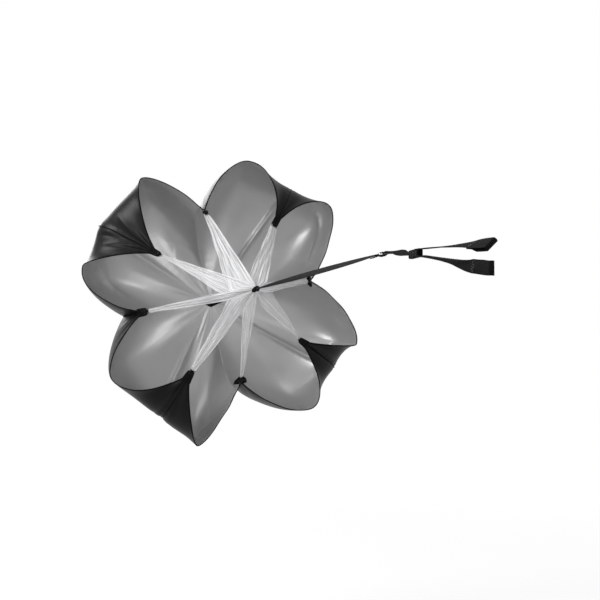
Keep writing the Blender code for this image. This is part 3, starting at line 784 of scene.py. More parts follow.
CREASES = (  # gore, its start and end as (share across, share along), reach, height
    (0, (-0.22, 0.67), (-0.92, 0.77), 0.012, 0.0020),
    (0, (-0.32, 0.52), (-0.98, 0.75), 0.030, -0.0030),
    (0, (0.20, 0.20), (-0.55, 0.30), 0.016, 0.0016),
    (0, (0.10, 0.28), (-0.75, 0.24), 0.018, 0.0018),
    (1, (-0.25, 0.61), (0.53, 0.38), 0.036, -0.0030),
    (1, (0.55, 0.66), (0.10, 0.52), 0.020, 0.0016),
    (1, (0.62, 0.56), (0.20, 0.44), 0.020, -0.0016),
    (6, (0.10, 0.76), (-0.27, 0.70), 0.030, -0.0110),
    (6, (-0.27, 0.70), (-0.60, 0.64), 0.030, -0.0110),
    (3, (-0.05, 0.72), (0.36, 0.68), 0.014, 0.0018),
    (3, (0.35, 0.30), (0.40, 0.80), 0.050, 0.0040),
    (5, (0.10, 0.78), (0.62, 0.62), 0.030, 0.0024),
    (2, (0.97, 0.99), (0.86, 0.72), 0.020, -0.0040),
    (3, (-0.97, 0.99), (-0.80, 0.74), 0.018, 0.0036),
    (1, (-0.95, 0.99), (-0.62, 0.88), 0.018, 0.0042),
    (1, (-0.97, 0.97), (-0.80, 0.78), 0.018, -0.0042),
    (0, (0.96, 0.99), (0.70, 0.86), 0.018, -0.0036),
)


# %% Heights from causes
def normals_of(points):
    return unit(np.cross(np.gradient(points, axis=1), np.gradient(points, axis=0)))


def seam_outward(k):
    """Away from the canopy along a seam, halfway between the normals of its two gores."""
    return unit(normals_of(GRIDS[k - 1])[:, -1] + normals_of(GRIDS[k])[:, 0])


def fade(distance, reach):
    return np.exp(-((distance / reach) ** 2))


def rise_and_fall(distance, peak):
    return distance / peak * np.exp(1 - distance / peak)


def notch_fan(points, k, edge):
    """Tension folds that fan out from a notch, by the angle to the seam there."""
    notch = points[-1, edge]
    seam = unit(points[-FAN_SEAM_ROWS, edge] - notch)
    reach = points - notch
    distance = np.linalg.norm(reach, axis=-1) + 1e-6
    angle = np.arccos(np.clip((reach @ seam) / distance, -1, 1))
    deep = FAN_HEIGHTS[k % 2] * rise_and_fall(distance, FAN_PEAK) * np.sin(FAN_COUNT * angle + FAN_TURN * k)
    fine = FINE_FAN_HEIGHT * rise_and_fall(distance, FINE_FAN_PEAK)
    fine = fine * np.sin(FINE_FAN_COUNT * angle + FINE_FAN_TURN * k)
    return (deep * np.exp(-angle * FAN_FADE) + fine) * fade(distance, FAN_REACH)


def crease_height(gore, points):
    """Long creases: a tent-like ridge or valley along a line on the cloth, which fades at both ends."""
    height = np.zeros(points.shape[:2])
    for where, start, end, reach, rise in CREASES:
        if where != gore:
            continue
        shares = np.linspace(0, 1, CREASE_STEPS)
        places = [np.array(start) + (np.array(end) - np.array(start)) * s for s in shares]
        line = np.array([meridian(gore, across, np.array([along]))[0] for across, along in places])
        distance = np.linalg.norm(points[:, :, None] - line, axis=-1)
        nearest = distance.argmin(axis=-1)
        taper = np.sqrt(np.sin(math.pi * np.clip(shares[nearest], CREASE_END, 1 - CREASE_END)))
        height += rise * taper * np.clip(1 - distance.min(axis=-1) / reach, 0, 1) ** CREASE_POWER
    return height


def wrinkle_height(gore, points):
    down = steps_along(points, 0)
    left = steps_along(points, 1)
    right = left[:, -1:] - left
    height = np.zeros(points.shape[:2])
    for k, edge, away in ((gore, 0, left), (gore + 1, -1, right)):
        phase = PUCKER_TURN * k + PUCKER_DRIFT * np.sin(down / PUCKER_DRIFT_LENGTH)
        pucker = np.exp(-away / PUCKER_REACH) * np.sin(math.tau * down / PUCKER_PITCH + phase)
        height += PUCKER_HEIGHT * pucker * (1 - fade(down, PUCKER_START))
        height += notch_fan(points, k, edge)
    share = left / np.maximum(left[:, -1:], 1e-6)
    pleats = np.sin(math.tau * CROWN_PLEATS * share + gore) * rise_and_fall(down, CROWN_PLEAT_PEAK)
    height += CROWN_PLEAT_HEIGHT * pleats
    swell = math.prod(np.sin(a * down + b * share + c * gore) for a, b, c in SWELL_WAVES)
    height += SWELL_HEIGHT * swell * fade(share - 0.5, SWELL_REACH)
    height += crease_height(gore, points)
    hold = 1 - fade(np.minimum(left, right), SEAM_HOLD)
    return height * hold


# %% [markdown]
# ## Gores
#
# Each gore is one sheet, black outside and satin inside. Solidify's material offset gives the inner face its
# own finish, so no shader has to ask which side the camera sees. Cloth can't stand in a sharp edge, so the
# ridges of the four corner seams are lowered first.

# %% Make the gores
GORE_CLOTH = 0.0007
RIDGE_DROP = 0.005
RIDGE_REACH = 0.018


def soften_ridge(k):
    """Lowers a seam's ridge, on both of its gores alike."""
    drop = RIDGE_DROP * np.sin(np.linspace(0, math.pi, GORE_ROWS + 1))
    outward = seam_outward(k)[:, None]
    for points, edge in ((GRIDS[k - 1], -1), (GRIDS[k], 0)):
        away = np.linalg.norm(points - points[:, edge][:, None], axis=-1)
        points -= outward * (drop[:, None] * fade(away, RIDGE_REACH))[..., None]


def make_gore(gore):
    points = GRIDS[gore]
    points += normals_of(points) * wrinkle_height(gore, points)[..., None]
    node = f"gore_{gore + 1}"
    piece = add_sheet(f"{node}_cloth", points, GORE_CLOTH, [BLACK_CLOTH, SATIN], "canopy", node,
                      offset=-1.0)
    declare_sheet(points)


for corner in range(1, COUNT, 2):
    soften_ridge(corner)
for gore in range(COUNT):
    make_gore(gore)

# %% [markdown]
# ## Bindings
#
# The raw edge of every lobe is wrapped in a narrow tape, which widens towards the notches. The seam
# allowances between gores are bound the same way and stand up on the outside like low fins. Both follow the
# cloth's own displaced points, so a wrinkle that reaches the edge carries the tape with it.

# %% Rim bindings
RIM_TAPE_WIDTH = 0.0070
RIM_TAPE_THICKNESS = 0.0034
RIM_TAPE_LIP = 0.0006  # how far the tape stands past the cloth's edge
RIM_CORNER_WIDTH = 0.0135  # its width at a notch, where it is turned twice
RIM_CORNER_REACH = 0.040
NOTCH_CLEARANCE = 0.003


def add_binding(node, path, sides, kept, width, thickness, scales):
    outline = flat_outline(width, thickness, 1.0)
    add_tape(f"{node}_tape", path[kept], sides[kept], outline, TAPE_BLACK, "canopy", node,
             scales[kept])


def make_rim_binding(gore):
    points = GRIDS[gore]
    rim = points[-1] - normals_of(points)[-1] * GORE_CLOTH / 2
    inward = unit(points[-3] - points[-1])
    run = steps_along(rim, 0)
    to_notch = np.minimum(run, run[-1] - run)
    width = RIM_TAPE_WIDTH + (RIM_CORNER_WIDTH - RIM_TAPE_WIDTH) * fade(to_notch, RIM_CORNER_REACH)
    middle = rim + inward * (width / 2 - RIM_TAPE_LIP)[:, None]
    add_binding(f"rim_binding_{gore + 1}", middle, inward, to_notch > NOTCH_CLEARANCE, RIM_TAPE_WIDTH,
                RIM_TAPE_THICKNESS, width / RIM_TAPE_WIDTH)


# %% Seam bindings
FIN_HEIGHT = 0.0022
FIN_THICKNESS = 0.0018
FIN_LIFT = 0.0006  # off the seam, so that it never shows inside
FIN_SWAY = 0.0006
FIN_SWAY_LENGTH = 0.017
FIN_START = 0.012
FIN_END = 0.004
FIN_TAPER = 0.10  # it flattens over this length towards both ends
FIN_END_SHARE = 0.3


def make_seam_binding(k):
    seam, outward = GRIDS[k][:, 0], seam_outward(k)
    run = steps_along(seam, 0)
    to_end = np.minimum(run - FIN_START, run[-1] - FIN_END - run)
    scale = FIN_END_SHARE + (1 - FIN_END_SHARE) * np.clip(to_end / FIN_TAPER, 0, 1)
    sway = np.sin(run / FIN_SWAY_LENGTH + k)[:, None] * around(k) * FIN_SWAY
    middle = seam + outward * (FIN_HEIGHT / 2 * scale + FIN_LIFT)[:, None] + sway
    add_binding(f"seam_binding_{k + 1}", middle, outward, to_end > 0, FIN_HEIGHT, FIN_THICKNESS, scale)


for k in range(COUNT):
    make_rim_binding(k)
    make_seam_binding(k)

# %% [markdown]
# ## Crown patch
#
# Eight points of cloth meet at the crown, which would fray, so a black patch is sewn over them on the
# inside. It is a diamond, wider than it is high, that lies on the gores, with its stitches just inside the
# edge.

# %% Make the crown patch
PATCH_WIDTH = 0.100  # from corner to corner
PATCH_HEIGHT = 0.048
PATCH_CELLS = 16
PATCH_THICKNESS = 0.0014
PATCH_LIFT = 0.0024
PATCH_HEM = 0.16  # the stitches' place inside the edge, as a share of the half
CROWN_STEPS = 60  # the first steps of a seam's curve, which the patch covers


def patch_point(p, q):
    """A point just inside the cloth. The patch's sides are the lines where p or q is -1 or 1."""
    y, z = (p - q) * PATCH_WIDTH / 4, (p + q) * PATCH_HEIGHT / 4
    depths, radii = notch_curve(0, np.linspace(0, 1, FINE_STEPS))[:, :CROWN_STEPS]
    return np.array([np.interp(math.hypot(y, z), radii, depths) + PATCH_LIFT, y, z])


def make_crown_patch():
    places = np.linspace(-1, 1, PATCH_CELLS + 1)
    points = np.array([[patch_point(p, q) for p in places] for q in places])
    patch = add_sheet("crown_patch_cloth", points, PATCH_THICKNESS, [WEBBING_BLACK], "canopy",
                      "crown_patch")
    edge = 1 - PATCH_HEM
    lift = PULL * PATCH_THICKNESS / 2
    places = ((-edge, -edge), (edge, -edge), (edge, edge), (-edge, edge))
    corners = [patch_point(p, q) + lift for p, q in places]
    add_stitches("crown_patch_stitches", outline_rows(corners, PULL), "canopy")


make_crown_patch()

# %% [markdown]
# ## Netting lines
#
# Each line is a strip of see-through netting, gathered tight at both ends and spread to between 50 and 90 mm
# near the gather point. It is drawn as one sheet whose cross-section is a sum of unlike waves, so that no two
# folds match. The strips lean a little, each over the next, like the blades of a fan, and most are skewed, so
# that one edge runs nearly straight. The netting's alpha does the rest.

# %% Line values
LINE_WIDTH = 0.090
LINE_WIDTH_SHARES = (1.0, 0.9, 0.42, 0.9, 0.65, 1.0, 0.45, 0.75)
LINE_START_WIDTHS = (0.018, 0.006, 0.014, 0.020, 0.008, 0.005, 0.012, 0.026)
LINE_SKEWS = (0.9, 0.8, 0.3, -0.7, -0.6, 0.3, 0.0, 0.1)  # 1 or -1 where one edge runs straight to the gather
# Per strip, partly how dense it is and partly painted shade: the lower strips are thinned so that they look
# shaded.
LINE_DENSITY_AND_SHADE_SHARES = (1.0, 0.85, 0.9, 0.9, 0.7, 0.45, 0.8, 1.0)  # how dense each strip looks
LINE_INNER_WIDTH = 0.011
LINE_CLOTH = 0.0005
LINE_WIDEST_SHARE = 0.88
LINE_CORNER_SHARE = 0.10  # the edge turns inwards over this much of the length
LINE_EASE_POWER = 1.15
LINE_LEAN_DEG = 26.0
LINE_COLUMNS = 56
LINE_ROWS = 90
TAB_LENGTH = 0.024
LINE_IN_TAB = 0.010
WRAP_RADIUS = 0.008
WRAP_LONG = 0.0150  # its half width across the pull, where the tape lies flat
WRAP_SHORT = 0.0085
WRAP_LEAN_DEG = 36.0
LINE_INNER_END = 0.8  # how far from the wrap's middle it ends, as a share of the wrap's radius
LINE_RIPPLE = 0.03  # of its width
LINE_RIPPLES = 21
FOLD_HEIGHT = 0.0034
END_FOLD_HEIGHT = 0.0016
FOLD_POWER = 0.7
FOLD_WAVES = (  # height, folds across the strip, share of the drift, turn from strip to strip
    (1.0, 2.5, 1.0, 1.0), (0.6, 5.3, -0.7, 2.2), (0.35, 9.1, 1.3, 0.7),
)
FOLD_SCALE = 1.6
FOLD_DRIFT = 0.5
FOLD_DRIFTS = 5.0


# %% Make the lines
def line_widths(share, start, widest):
    """It opens steadily, then closes quickly, with a soft turn between the two."""
    outer = start + (widest - start) * (share / LINE_WIDEST_SHARE) ** LINE_EASE_POWER
    inner = LINE_INNER_WIDTH + (widest - LINE_INNER_WIDTH) * (1 - share) / (1 - LINE_WIDEST_SHARE)
    soft = (widest - LINE_INNER_WIDTH) * LINE_CORNER_SHARE
    return (outer + inner - np.sqrt((outer - inner) ** 2 + soft**2)) / 2


def fold_heights(k, share, place):
    """Lengthwise folds: unlike waves across the strip, which drift as they go along it."""
    drift = FOLD_DRIFT * np.sin(share * FOLD_DRIFTS + k)
    waves = [height * np.sin(math.tau * (folds * place + moved * drift) + turn * k)
             for height, folds, moved, turn in FOLD_WAVES]
    return sum(waves) / FOLD_SCALE


def line_points(k):
    forward, side = ahead(k), around(k)
    outer = notch_point(k) + forward * (TAB_LENGTH - LINE_IN_TAB)
    inner = -forward * (WRAP_RADIUS * LINE_INNER_END)
    share = np.linspace(0, 1, LINE_ROWS + 1)[:, None]
    place = np.linspace(-0.5, 0.5, LINE_COLUMNS + 1)[None, :]
    widest = LINE_WIDTH * LINE_WIDTH_SHARES[k]
    width = line_widths(share, LINE_START_WIDTHS[k], widest)
    width = width * (1 + LINE_RIPPLE * np.sin(share * LINE_RIPPLES + k))
    lean = np.radians(LINE_LEAN_DEG) * np.minimum(1, share / LINE_WIDEST_SHARE)
    broad = side * np.cos(lean)[..., None] + np.cross(forward, side) * np.sin(lean)[..., None]
    up = np.cross(broad, forward)
    depth = END_FOLD_HEIGHT + (FOLD_HEIGHT - END_FOLD_HEIGHT) * np.sin(math.pi * share) ** FOLD_POWER
    fold = depth * fold_heights(k, share, place)
    straight = LINE_START_WIDTHS[k] + (LINE_INNER_WIDTH - LINE_START_WIDTHS[k]) * share
    shift = LINE_SKEWS[k] * (width - straight) / 2
    middle = outer + (inner - outer) * share[..., None] + broad * shift[..., None]
    return middle + broad * (width * place)[..., None] + up * fold[..., None]


def make_mesh_line(k):
    points = line_points(k)
    node = f"mesh_line_{k + 1}"
    piece = add_sheet(f"{node}_netting", points, LINE_CLOTH, [NETTING_WHITE], "canopy", node)
    # The strip's alpha share, which partly paints shade onto the lower strips.
    density_and_shade = piece.data.attributes.new("density_and_shade", "FLOAT", "POINT")
    density_and_shade.data.foreach_set("value", np.full(points[..., 0].size, LINE_DENSITY_AND_SHADE_SHARES[k], np.float32))
    declare_sheet(points)


for k in range(COUNT):
    make_mesh_line(k)

# %% [markdown]
# ## Notch tabs
#
# Where a line meets the rim, a folded webbing band holds the gathered end of the netting in its mouth. The
# band reaches back over the canopy's corner and is tacked through. A little way in front of its mouth a
# narrow band holds the netting's gathers together, and a crescent of pale netting shows between the two.

# %% Tab values
TAB_WIDTH = 0.036
TAB_WIDTH_SHARES = (0.55, 0.62, 0.85, 0.8, 1.25, 0.65, 1.35, 0.72)
TAB_MOUTH_SHARES = (0.7, 0.45, 0.55, 0.65, 0.6, 0.4, 0.6, 0.7)  # of its width, at its open end
TAB_BACK_SHARES = (0.7, 1.3, 1.0, 1.3, 1.1, 1.3, 0.9, 0.95)  # and behind the notch
TAB_BACKS = (0.007, 0.034, 0.034, 0.034, 0.022, 0.034, 0.012, 0.034)  # how far it reaches over the canopy
TAB_HEIGHT = 0.0090
TAB_THICKNESS = 0.0018
TAB_BEVEL = 0.0004
TAB_ARC_STEPS = 10
TAB_COLUMNS = 24
TAB_FLARE_POWER = 1.5
TAB_WAVE = 0.0010
TAB_WAVES = 2.2
TAB_WAVE_BACK = 0.3  # behind the notch it waves this much of TAB_WAVE
TAB_ROUND = 0.35
TAB_PRESS = 0.75  # how flat its sides are pressed
TACK_PITCH = 0.0026
TACK_ROWS = (0.35, 0.55)  # their places between the notch and the mouth
TACK_SPAN = 0.7
BAND_PLACE = 0.003  # in front of the tab's mouth
BAND_WIDTH = 0.003
BAND_THICKNESS = 0.0008
BAND_HEIGHT = 0.0032
BAND_ROOM = 0.001  # its half width past the netting's
BAND_STEPS = 32


# %% Make the tabs
def tab_outline(back):
    """Forward and up places of the folded band, from one lip round the back to the other."""
    half = (TAB_HEIGHT - TAB_THICKNESS) / 2
    turns = np.linspace(math.pi / 2, 3 * math.pi / 2, TAB_ARC_STEPS + 1)
    fold = [(half - back + half * math.cos(a), half * math.sin(a)) for a in turns]
    upper = [(TAB_LENGTH * s, half) for s in (1.0, 0.75, 0.5, 0.25)]
    return np.array(upper + fold + [(x, -y) for x, y in reversed(upper)])


def tab_points(k, half_width):
    forward, back = ahead(k), TAB_BACKS[k]
    up = np.cross(forward, around(k))
    seam = unit(GRIDS[k][-5, 0] - GRIDS[k][-1, 0])
    ahead_part, up_part = np.split(tab_outline(back)[:, None], 2, axis=-1)
    place = np.linspace(-1, 1, TAB_COLUMNS + 1)[None, :, None]
    reach = np.clip(ahead_part / TAB_LENGTH, 0, 1)
    behind = np.clip(-ahead_part / back, 0, 1)
    flare = 1 + (TAB_MOUTH_SHARES[k] - 1) * reach**TAB_FLARE_POWER + (TAB_BACK_SHARES[k] - 1) * behind
    ripple = TAB_WAVE * (TAB_WAVE_BACK + reach) * np.sin(math.tau * TAB_WAVES * place + k)
    round_off = 1 - TAB_ROUND * place**4 * reach
    puff = np.sqrt(1 - TAB_PRESS * place**4)
    points = notch_point(k) + forward * np.maximum(ahead_part, 0) * round_off + seam * back * behind
    return points + up * (up_part * puff + ripple) + around(k) * place * half_width * flare


def make_tab(k):
    half_width = TAB_WIDTH * TAB_WIDTH_SHARES[k] / 2
    points = tab_points(k, half_width)
    node = f"notch_tab_{k + 1}"
    piece = add_sheet(f"{node}_band", points, TAB_THICKNESS, [WEBBING_BLACK], "canopy", node,
                      even=False)
    bevel = piece.modifiers.new("round", "BEVEL")
    bevel.width = TAB_BEVEL
    bevel.segments = 2
    rows = []
    for up in (np.cross(ahead(k), around(k)), -np.cross(ahead(k), around(k))):
        for place in TACK_ROWS:
            middle = notch_point(k) + ahead(k) * TAB_LENGTH * place + up * TAB_HEIGHT / 2
            span = around(k) * half_width * (1 + (TAB_MOUTH_SHARES[k] - 1) * place) * TACK_SPAN
            rows += stitch_row(middle - span, middle + span, up, TACK_PITCH)
    add_stitches(f"{node}_tacks", rows, "canopy")


def make_gather_band(k):
    """The narrow band round the netting, in front of the tab."""
    centre = notch_point(k) + ahead(k) * (TAB_LENGTH + BAND_PLACE)
    side, up = around(k), np.cross(ahead(k), around(k))
    turns = np.linspace(0, math.tau, BAND_STEPS + 1)[:, None]
    reach = LINE_START_WIDTHS[k] / 2 + BAND_ROOM
    path = centre + side * np.cos(turns) * reach + up * np.sin(turns) * BAND_HEIGHT
    sides = np.broadcast_to(ahead(k), path.shape)
    outline = flat_outline(BAND_WIDTH, BAND_THICKNESS, 1.0)
    add_tape(f"gather_band_{k + 1}", path, sides, outline, TAPE_BLACK, "canopy")


for k in range(COUNT):
    make_tab(k)
    make_gather_band(k)

# %% [markdown]
# ## The gather
#
# All eight strips end in one tight wrap of tape, and a flat eye of the same webbing comes out of its front.
# The wrap is a flattened barrel that leans over, with grooves between its windings. The eye is a band round a
# hole, and the tow strap's loop runs through it.

# %% Make the wrap and its eye
EYE_HOLE = 0.0072
EYE_BAND = 0.002
EYE_HEIGHT = 0.013
EYE_STEPS = 48
EYE_X = WRAP_RADIUS + EYE_HOLE + EYE_BAND - 0.0008  # its band lies a little in the wrap
WRAP_RINGS = 30
WRAP_SIDES = 28
WRAP_END = 0.06  # the smaller, the more pointed its ends
WRAP_POWER = 0.6
WRAP_GROOVES = 4.5
WRAP_GROOVE_EDGE = 0.6  # nearer 1 for narrower grooves
WRAP_GROOVE_DEPTH = 0.06  # as a share of its girth


def make_wrap():
    shares = np.linspace(0, 1, WRAP_RINGS + 1)
    reach = np.cos(shares * math.pi) * -WRAP_RADIUS
    girth = np.sin(np.clip(shares, WRAP_END, 1 - WRAP_END) * math.pi) ** WRAP_POWER
    girth = girth - WRAP_GROOVE_DEPTH * (np.cos(shares * math.tau * WRAP_GROOVES) > WRAP_GROOVE_EDGE)
    turns = np.linspace(0, math.tau, WRAP_SIDES, endpoint=False)
    lean = math.radians(WRAP_LEAN_DEG)
    flat = np.stack([np.cos(turns) * WRAP_LONG, np.sin(turns) * WRAP_SHORT], axis=-1)
    outline = flat @ np.array([[math.cos(lean), math.sin(lean)], [-math.sin(lean), math.cos(lean)]])
    rings = [[(x, r * c, r * s) for c, s in outline] for x, r in zip(reach, girth)]
    mesh = skinned_mesh("gather_wrap", [rings])
    along = np.repeat(turns[None] * WRAP_RADIUS, len(rings), axis=0)
    across = np.repeat(reach[:, None], WRAP_SIDES, axis=1)
    store_cloth(mesh, along, across, across * 0 + 0.5)
    add_piece("gather_wrap", mesh, [WEBBING_BLACK], "gather_eye", "gather_tab")


def make_eye():
    turns = np.linspace(0, math.tau, EYE_STEPS + 1)[:, None]
    path = PULL * EYE_X + (SIDEWAYS * np.sin(turns) - PULL * np.cos(turns)) * (EYE_HOLE + EYE_BAND / 2)
    sides = np.broadcast_to(UPWARD, path.shape)
    outline = flat_outline(EYE_HEIGHT, EYE_BAND)
    add_tape("gather_eye_band", path, sides, outline, WEBBING_BLACK, "gather_eye")


make_wrap()
make_eye()

# %% [markdown]
# ## Tow strap, yoke and legs
#
# These are all 25 mm webbing. A strap is one long tape that folds back on itself at each end, and the fold
# is stitched down in a box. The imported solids' boxes say where each one starts. Between its ends the tape
# twists smoothly, as webbing does when it is pulled tight.

# %% Webbing values
WEBBING_WIDTH = 0.025
WEBBING = 0.0018
PLY_STEP = 0.0024
STRAP_LENGTH = 1.250
STRAP_TURN_DEG = 47.0
STRAP_END_TURN_DEG = 20.0  # already reached where the folded end is stitched
STRAP_TURN_POWER = 0.7
STRAP_STEPS = 150
REAR_LOOP_RADIUS = 0.008
REAR_LOOP_WIDTH = 0.010
RING_LOOP_RADIUS = 0.0041
RING_LOOP_WIDTH = 0.007
LOOP_NECK = 0.016
LOOP_FOLD = 0.045
LOOP_STEPS = 24
FOLD_STEPS = 11
LINK_RADIUS = 0.007
LINK_WIRE = 0.0012
BLOCK_LENGTH = 0.050
BLOCK_WIDTH = 0.012
BLOCK_HEIGHT = 0.017
LEG_GAP = 0.0008
LEG_LENGTH = 0.322
UPPER_LEG_START = 0.0068
LOWER_LEG_START = 0.0062
BELT_GAP = 0.006
BELT_LOOP = 0.046
BELT_FOLD = 0.078
BELT_STEPS = 25
YOKE_STATIONS = (  # share of the length, drop as a share of it, turn in degrees
    (0.0, 0.0, 0), (0.3, 0.02, 16), (0.5, 0.05, 24), (0.68, 0.08, 22), (0.84, 0.1, 14), (1.0, 0.116, 8),
)
UPPER_LEG_STATIONS = (
    (0.0, 0.0, 4), (0.3, 0.017, 5), (0.5, 0.029, 13), (0.7, 0.041, 24), (0.84, 0.05, 40), (0.92, 0.055, 44),
    (1.0, 0.06, 44),
)
LOWER_LEG_STATIONS = (
    (0.0, 0.0, 2), (0.3, 0.043, 4), (0.45, 0.066, 9), (0.58, 0.088, 20), (0.68, 0.107, 42), (0.77, 0.123, 76),
    (0.84, 0.133, 90), (0.92, 0.144, 90), (1.0, 0.152, 90),
)
RING_CENTRE = np.mean(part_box("strap_ring"), axis=0)
REAR_LOOP_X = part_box("tow_strap")[0][0] + REAR_LOOP_RADIUS + WEBBING / 2
FRONT_LOOP_X = REAR_LOOP_X + STRAP_LENGTH
YOKE_LOOP_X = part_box("yoke_webbing")[0][0] + RING_LOOP_RADIUS + WEBBING / 2
block_low, block_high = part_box("yoke_block")
BLOCK_START = np.array([block_low[0], 0, (block_low[2] + block_high[2]) / 2])
LEG_START = BLOCK_START + PULL * (BLOCK_LENGTH + LEG_GAP)
print("ring centre", RING_CENTRE, "block start", BLOCK_START)


# %% Paths with a twist
def turned(turn_deg):
    turn = np.radians(turn_deg)
    return np.stack([np.zeros_like(turn), np.cos(turn), np.sin(turn)], axis=-1)


def eased(share):
    return 3 * share**2 - 2 * share**3


def smooth_stations(stations, shares):
    """Drop share and turn at each share, on a smooth curve through the stations."""
    table = np.array(stations, float)
    slopes = np.gradient(table[:, 1:], table[:, 0], axis=0)
    i = np.clip(np.searchsorted(table[:, 0], shares, "right") - 1, 0, len(table) - 2)
    span = (table[i + 1, 0] - table[i, 0])[:, None]
    t = (shares[:, None] - table[i, :1]) / span
    a, b = table[i, 1:], table[i + 1, 1:]
    bend = (t**3 - 2 * t**2 + t) * slopes[i] * span + (t**3 - t**2) * slopes[i + 1] * span
    return a + (b - a) * eased(t) + bend


def end_loop(centre, radius, width, forward, turn_deg=0.0):
    """An end loop as (point, width, turn) stations: the ply folded back, round the loop, to the strap."""
    pull = PULL * forward
    reach = np.linspace(LOOP_FOLD, LOOP_NECK, FOLD_STEPS + 1)
    ease = (LOOP_FOLD - reach) / (LOOP_FOLD - LOOP_NECK)
    widths = WEBBING_WIDTH + (width - WEBBING_WIDTH) * eased(ease)
    twist = turn_deg * np.clip((reach - LOOP_NECK) / (LOOP_FOLD - LOOP_NECK) * 2, 0, 1)
    halves = np.cross(PULL, turned(twist)) * PLY_STEP / 2
    fold = list(zip(reach, halves, widths, twist))
    folded = [(centre + pull * x - half, w, turn) for x, half, w, turn in fold]
    back = [(centre + pull * x + half, w, turn) for x, half, w, turn in reversed(fold)]
    angles = np.linspace(0, math.pi, LOOP_STEPS + 1)
    loop = [(centre - (pull * math.sin(a) + UPWARD * math.cos(a)) * radius, width, 0.0) for a in angles]
    return folded + loop + back


def add_webbing(name, stations, body, node):
    """A webbing tape through stations of a point, a width and a turn."""
    path, widths, turns = (np.array(values, float) for values in zip(*stations))
    outline = flat_outline(WEBBING_WIDTH, WEBBING)
    add_tape(name, path, turned(turns), outline, WEBBING_BLACK, body, node,
             widths / WEBBING_WIDTH)


# %% Box stitching on a folded end
BOX_MARGIN = 0.0035


def box_stitches(a, b, side):
    """A stitched box with a cross in it, on both faces of two plies."""
    rows = []
    half_width = side * (WEBBING_WIDTH / 2 - BOX_MARGIN)
    for up in (np.cross(PULL, side), -np.cross(PULL, side)):
        lift = up * (PLY_STEP + WEBBING) / 2
        near, far = a + lift, b + lift
        corners = [near - half_width, far - half_width, far + half_width, near + half_width]
        rows += outline_rows(corners, up)
        rows += stitch_row(corners[0], corners[2], up) + stitch_row(corners[1], corners[3], up)
    return rows


def fold_stitches(centre, forward, side):
    """The box on the fold behind an end loop."""
    near = centre + PULL * forward * (LOOP_NECK + LOOP_FOLD) / 2
    return box_stitches(near, centre + PULL * forward * (LOOP_FOLD - BOX_MARGIN), side)


# %% Make the tow strap
def make_tow_strap():
    rear, front = PULL * REAR_LOOP_X, PULL * FRONT_LOOP_X
    end_turn = STRAP_END_TURN_DEG
    shares = np.linspace(0, 1, STRAP_STEPS + 1)[1:-1]
    turn = end_turn + (STRAP_TURN_DEG - end_turn) * np.sin(math.pi * shares) ** STRAP_TURN_POWER
    lift = np.cross(PULL, turned(turn)) * PLY_STEP / 2
    middle = rear + PULL * (LOOP_FOLD + (STRAP_LENGTH - 2 * LOOP_FOLD) * shares)[:, None] + lift
    stations = end_loop(rear, REAR_LOOP_RADIUS, REAR_LOOP_WIDTH, 1, end_turn)
    stations += [(point, WEBBING_WIDTH, degrees) for point, degrees in zip(middle, turn)]
    stations += end_loop(front, RING_LOOP_RADIUS, RING_LOOP_WIDTH, -1, end_turn)[::-1]
    add_webbing("tow_strap_webbing", stations, "strap", "tow_strap")
    side = turned(end_turn)
    rows = fold_stitches(rear, 1, side) + fold_stitches(front, -1, side)
    add_stitches("tow_strap_stitches", rows, "strap")


make_tow_strap()


# %% Make the ring
def make_ring():
    bpy.ops.mesh.primitive_torus_add(
        major_radius=LINK_RADIUS, minor_radius=LINK_WIRE, major_segments=72, minor_segments=20
    )
    ring = bpy.context.object
    ring.name = "ring_wire"
    ring.location = RING_CENTRE
    ring.data.materials.append(STEEL)
    ring.data.shade_smooth()
    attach(ring, "ring")
    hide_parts("strap_ring")


make_ring()

# %% Make the yoke's webbing
YOKE_STEPS = 48
YOKE_TAPER_SHARE = 0.5  # where it starts to narrow towards the block
YOKE_GAP = 0.0004


def make_yoke():
    centre = PULL * YOKE_LOOP_X
    start = centre + PULL * LOOP_FOLD + UPWARD * PLY_STEP / 2
    whole = BLOCK_START - PULL * YOKE_GAP - start
    shares = np.linspace(0, 1, YOKE_STEPS + 1)[1:]
    drop, turn = smooth_stations(YOKE_STATIONS, shares).T
    fall = drop / YOKE_STATIONS[-1][1]
    middle = start + PULL * (whole[0] * shares)[:, None] + UPWARD * (whole[2] * fall)[:, None]
    taper = np.clip((shares - YOKE_TAPER_SHARE) / (1 - YOKE_TAPER_SHARE), 0, 1)
    widths = WEBBING_WIDTH - (WEBBING_WIDTH - BLOCK_WIDTH) * taper
    stations = end_loop(centre, RING_LOOP_RADIUS, RING_LOOP_WIDTH, 1) + list(zip(middle, widths, turn))
    add_webbing("yoke_webbing_tape", stations, "yoke", "yoke_webbing")
    add_stitches("yoke_stitches", fold_stitches(centre, 1, SIDEWAYS), "yoke")


make_yoke()

# %% [markdown]
# ## The sewn block
#
# Where one strap becomes two, the plies are stacked, wrapped once and tacked through. A bevelled box would
# look like plastic. So the block is the wrap's own cloth: a rounded outline that swells between three rows
# of tacks.

# %% Make the block
BLOCK_STEPS = 40
BLOCK_SIDES = 40
BLOCK_SQUARENESS = 0.35  # the smaller, the sharper its corners
BLOCK_SWELL = 0.0005
BLOCK_TACK_ROWS = (0.25, 0.5, 0.75)
BLOCK_TACK_PITCH = 0.0024
BLOCK_TACK_SHIFTS = (-0.0012, 0.0012)  # each row is double
BLOCK_TACK_SHARE = 0.38  # of the height, up and down from the middle


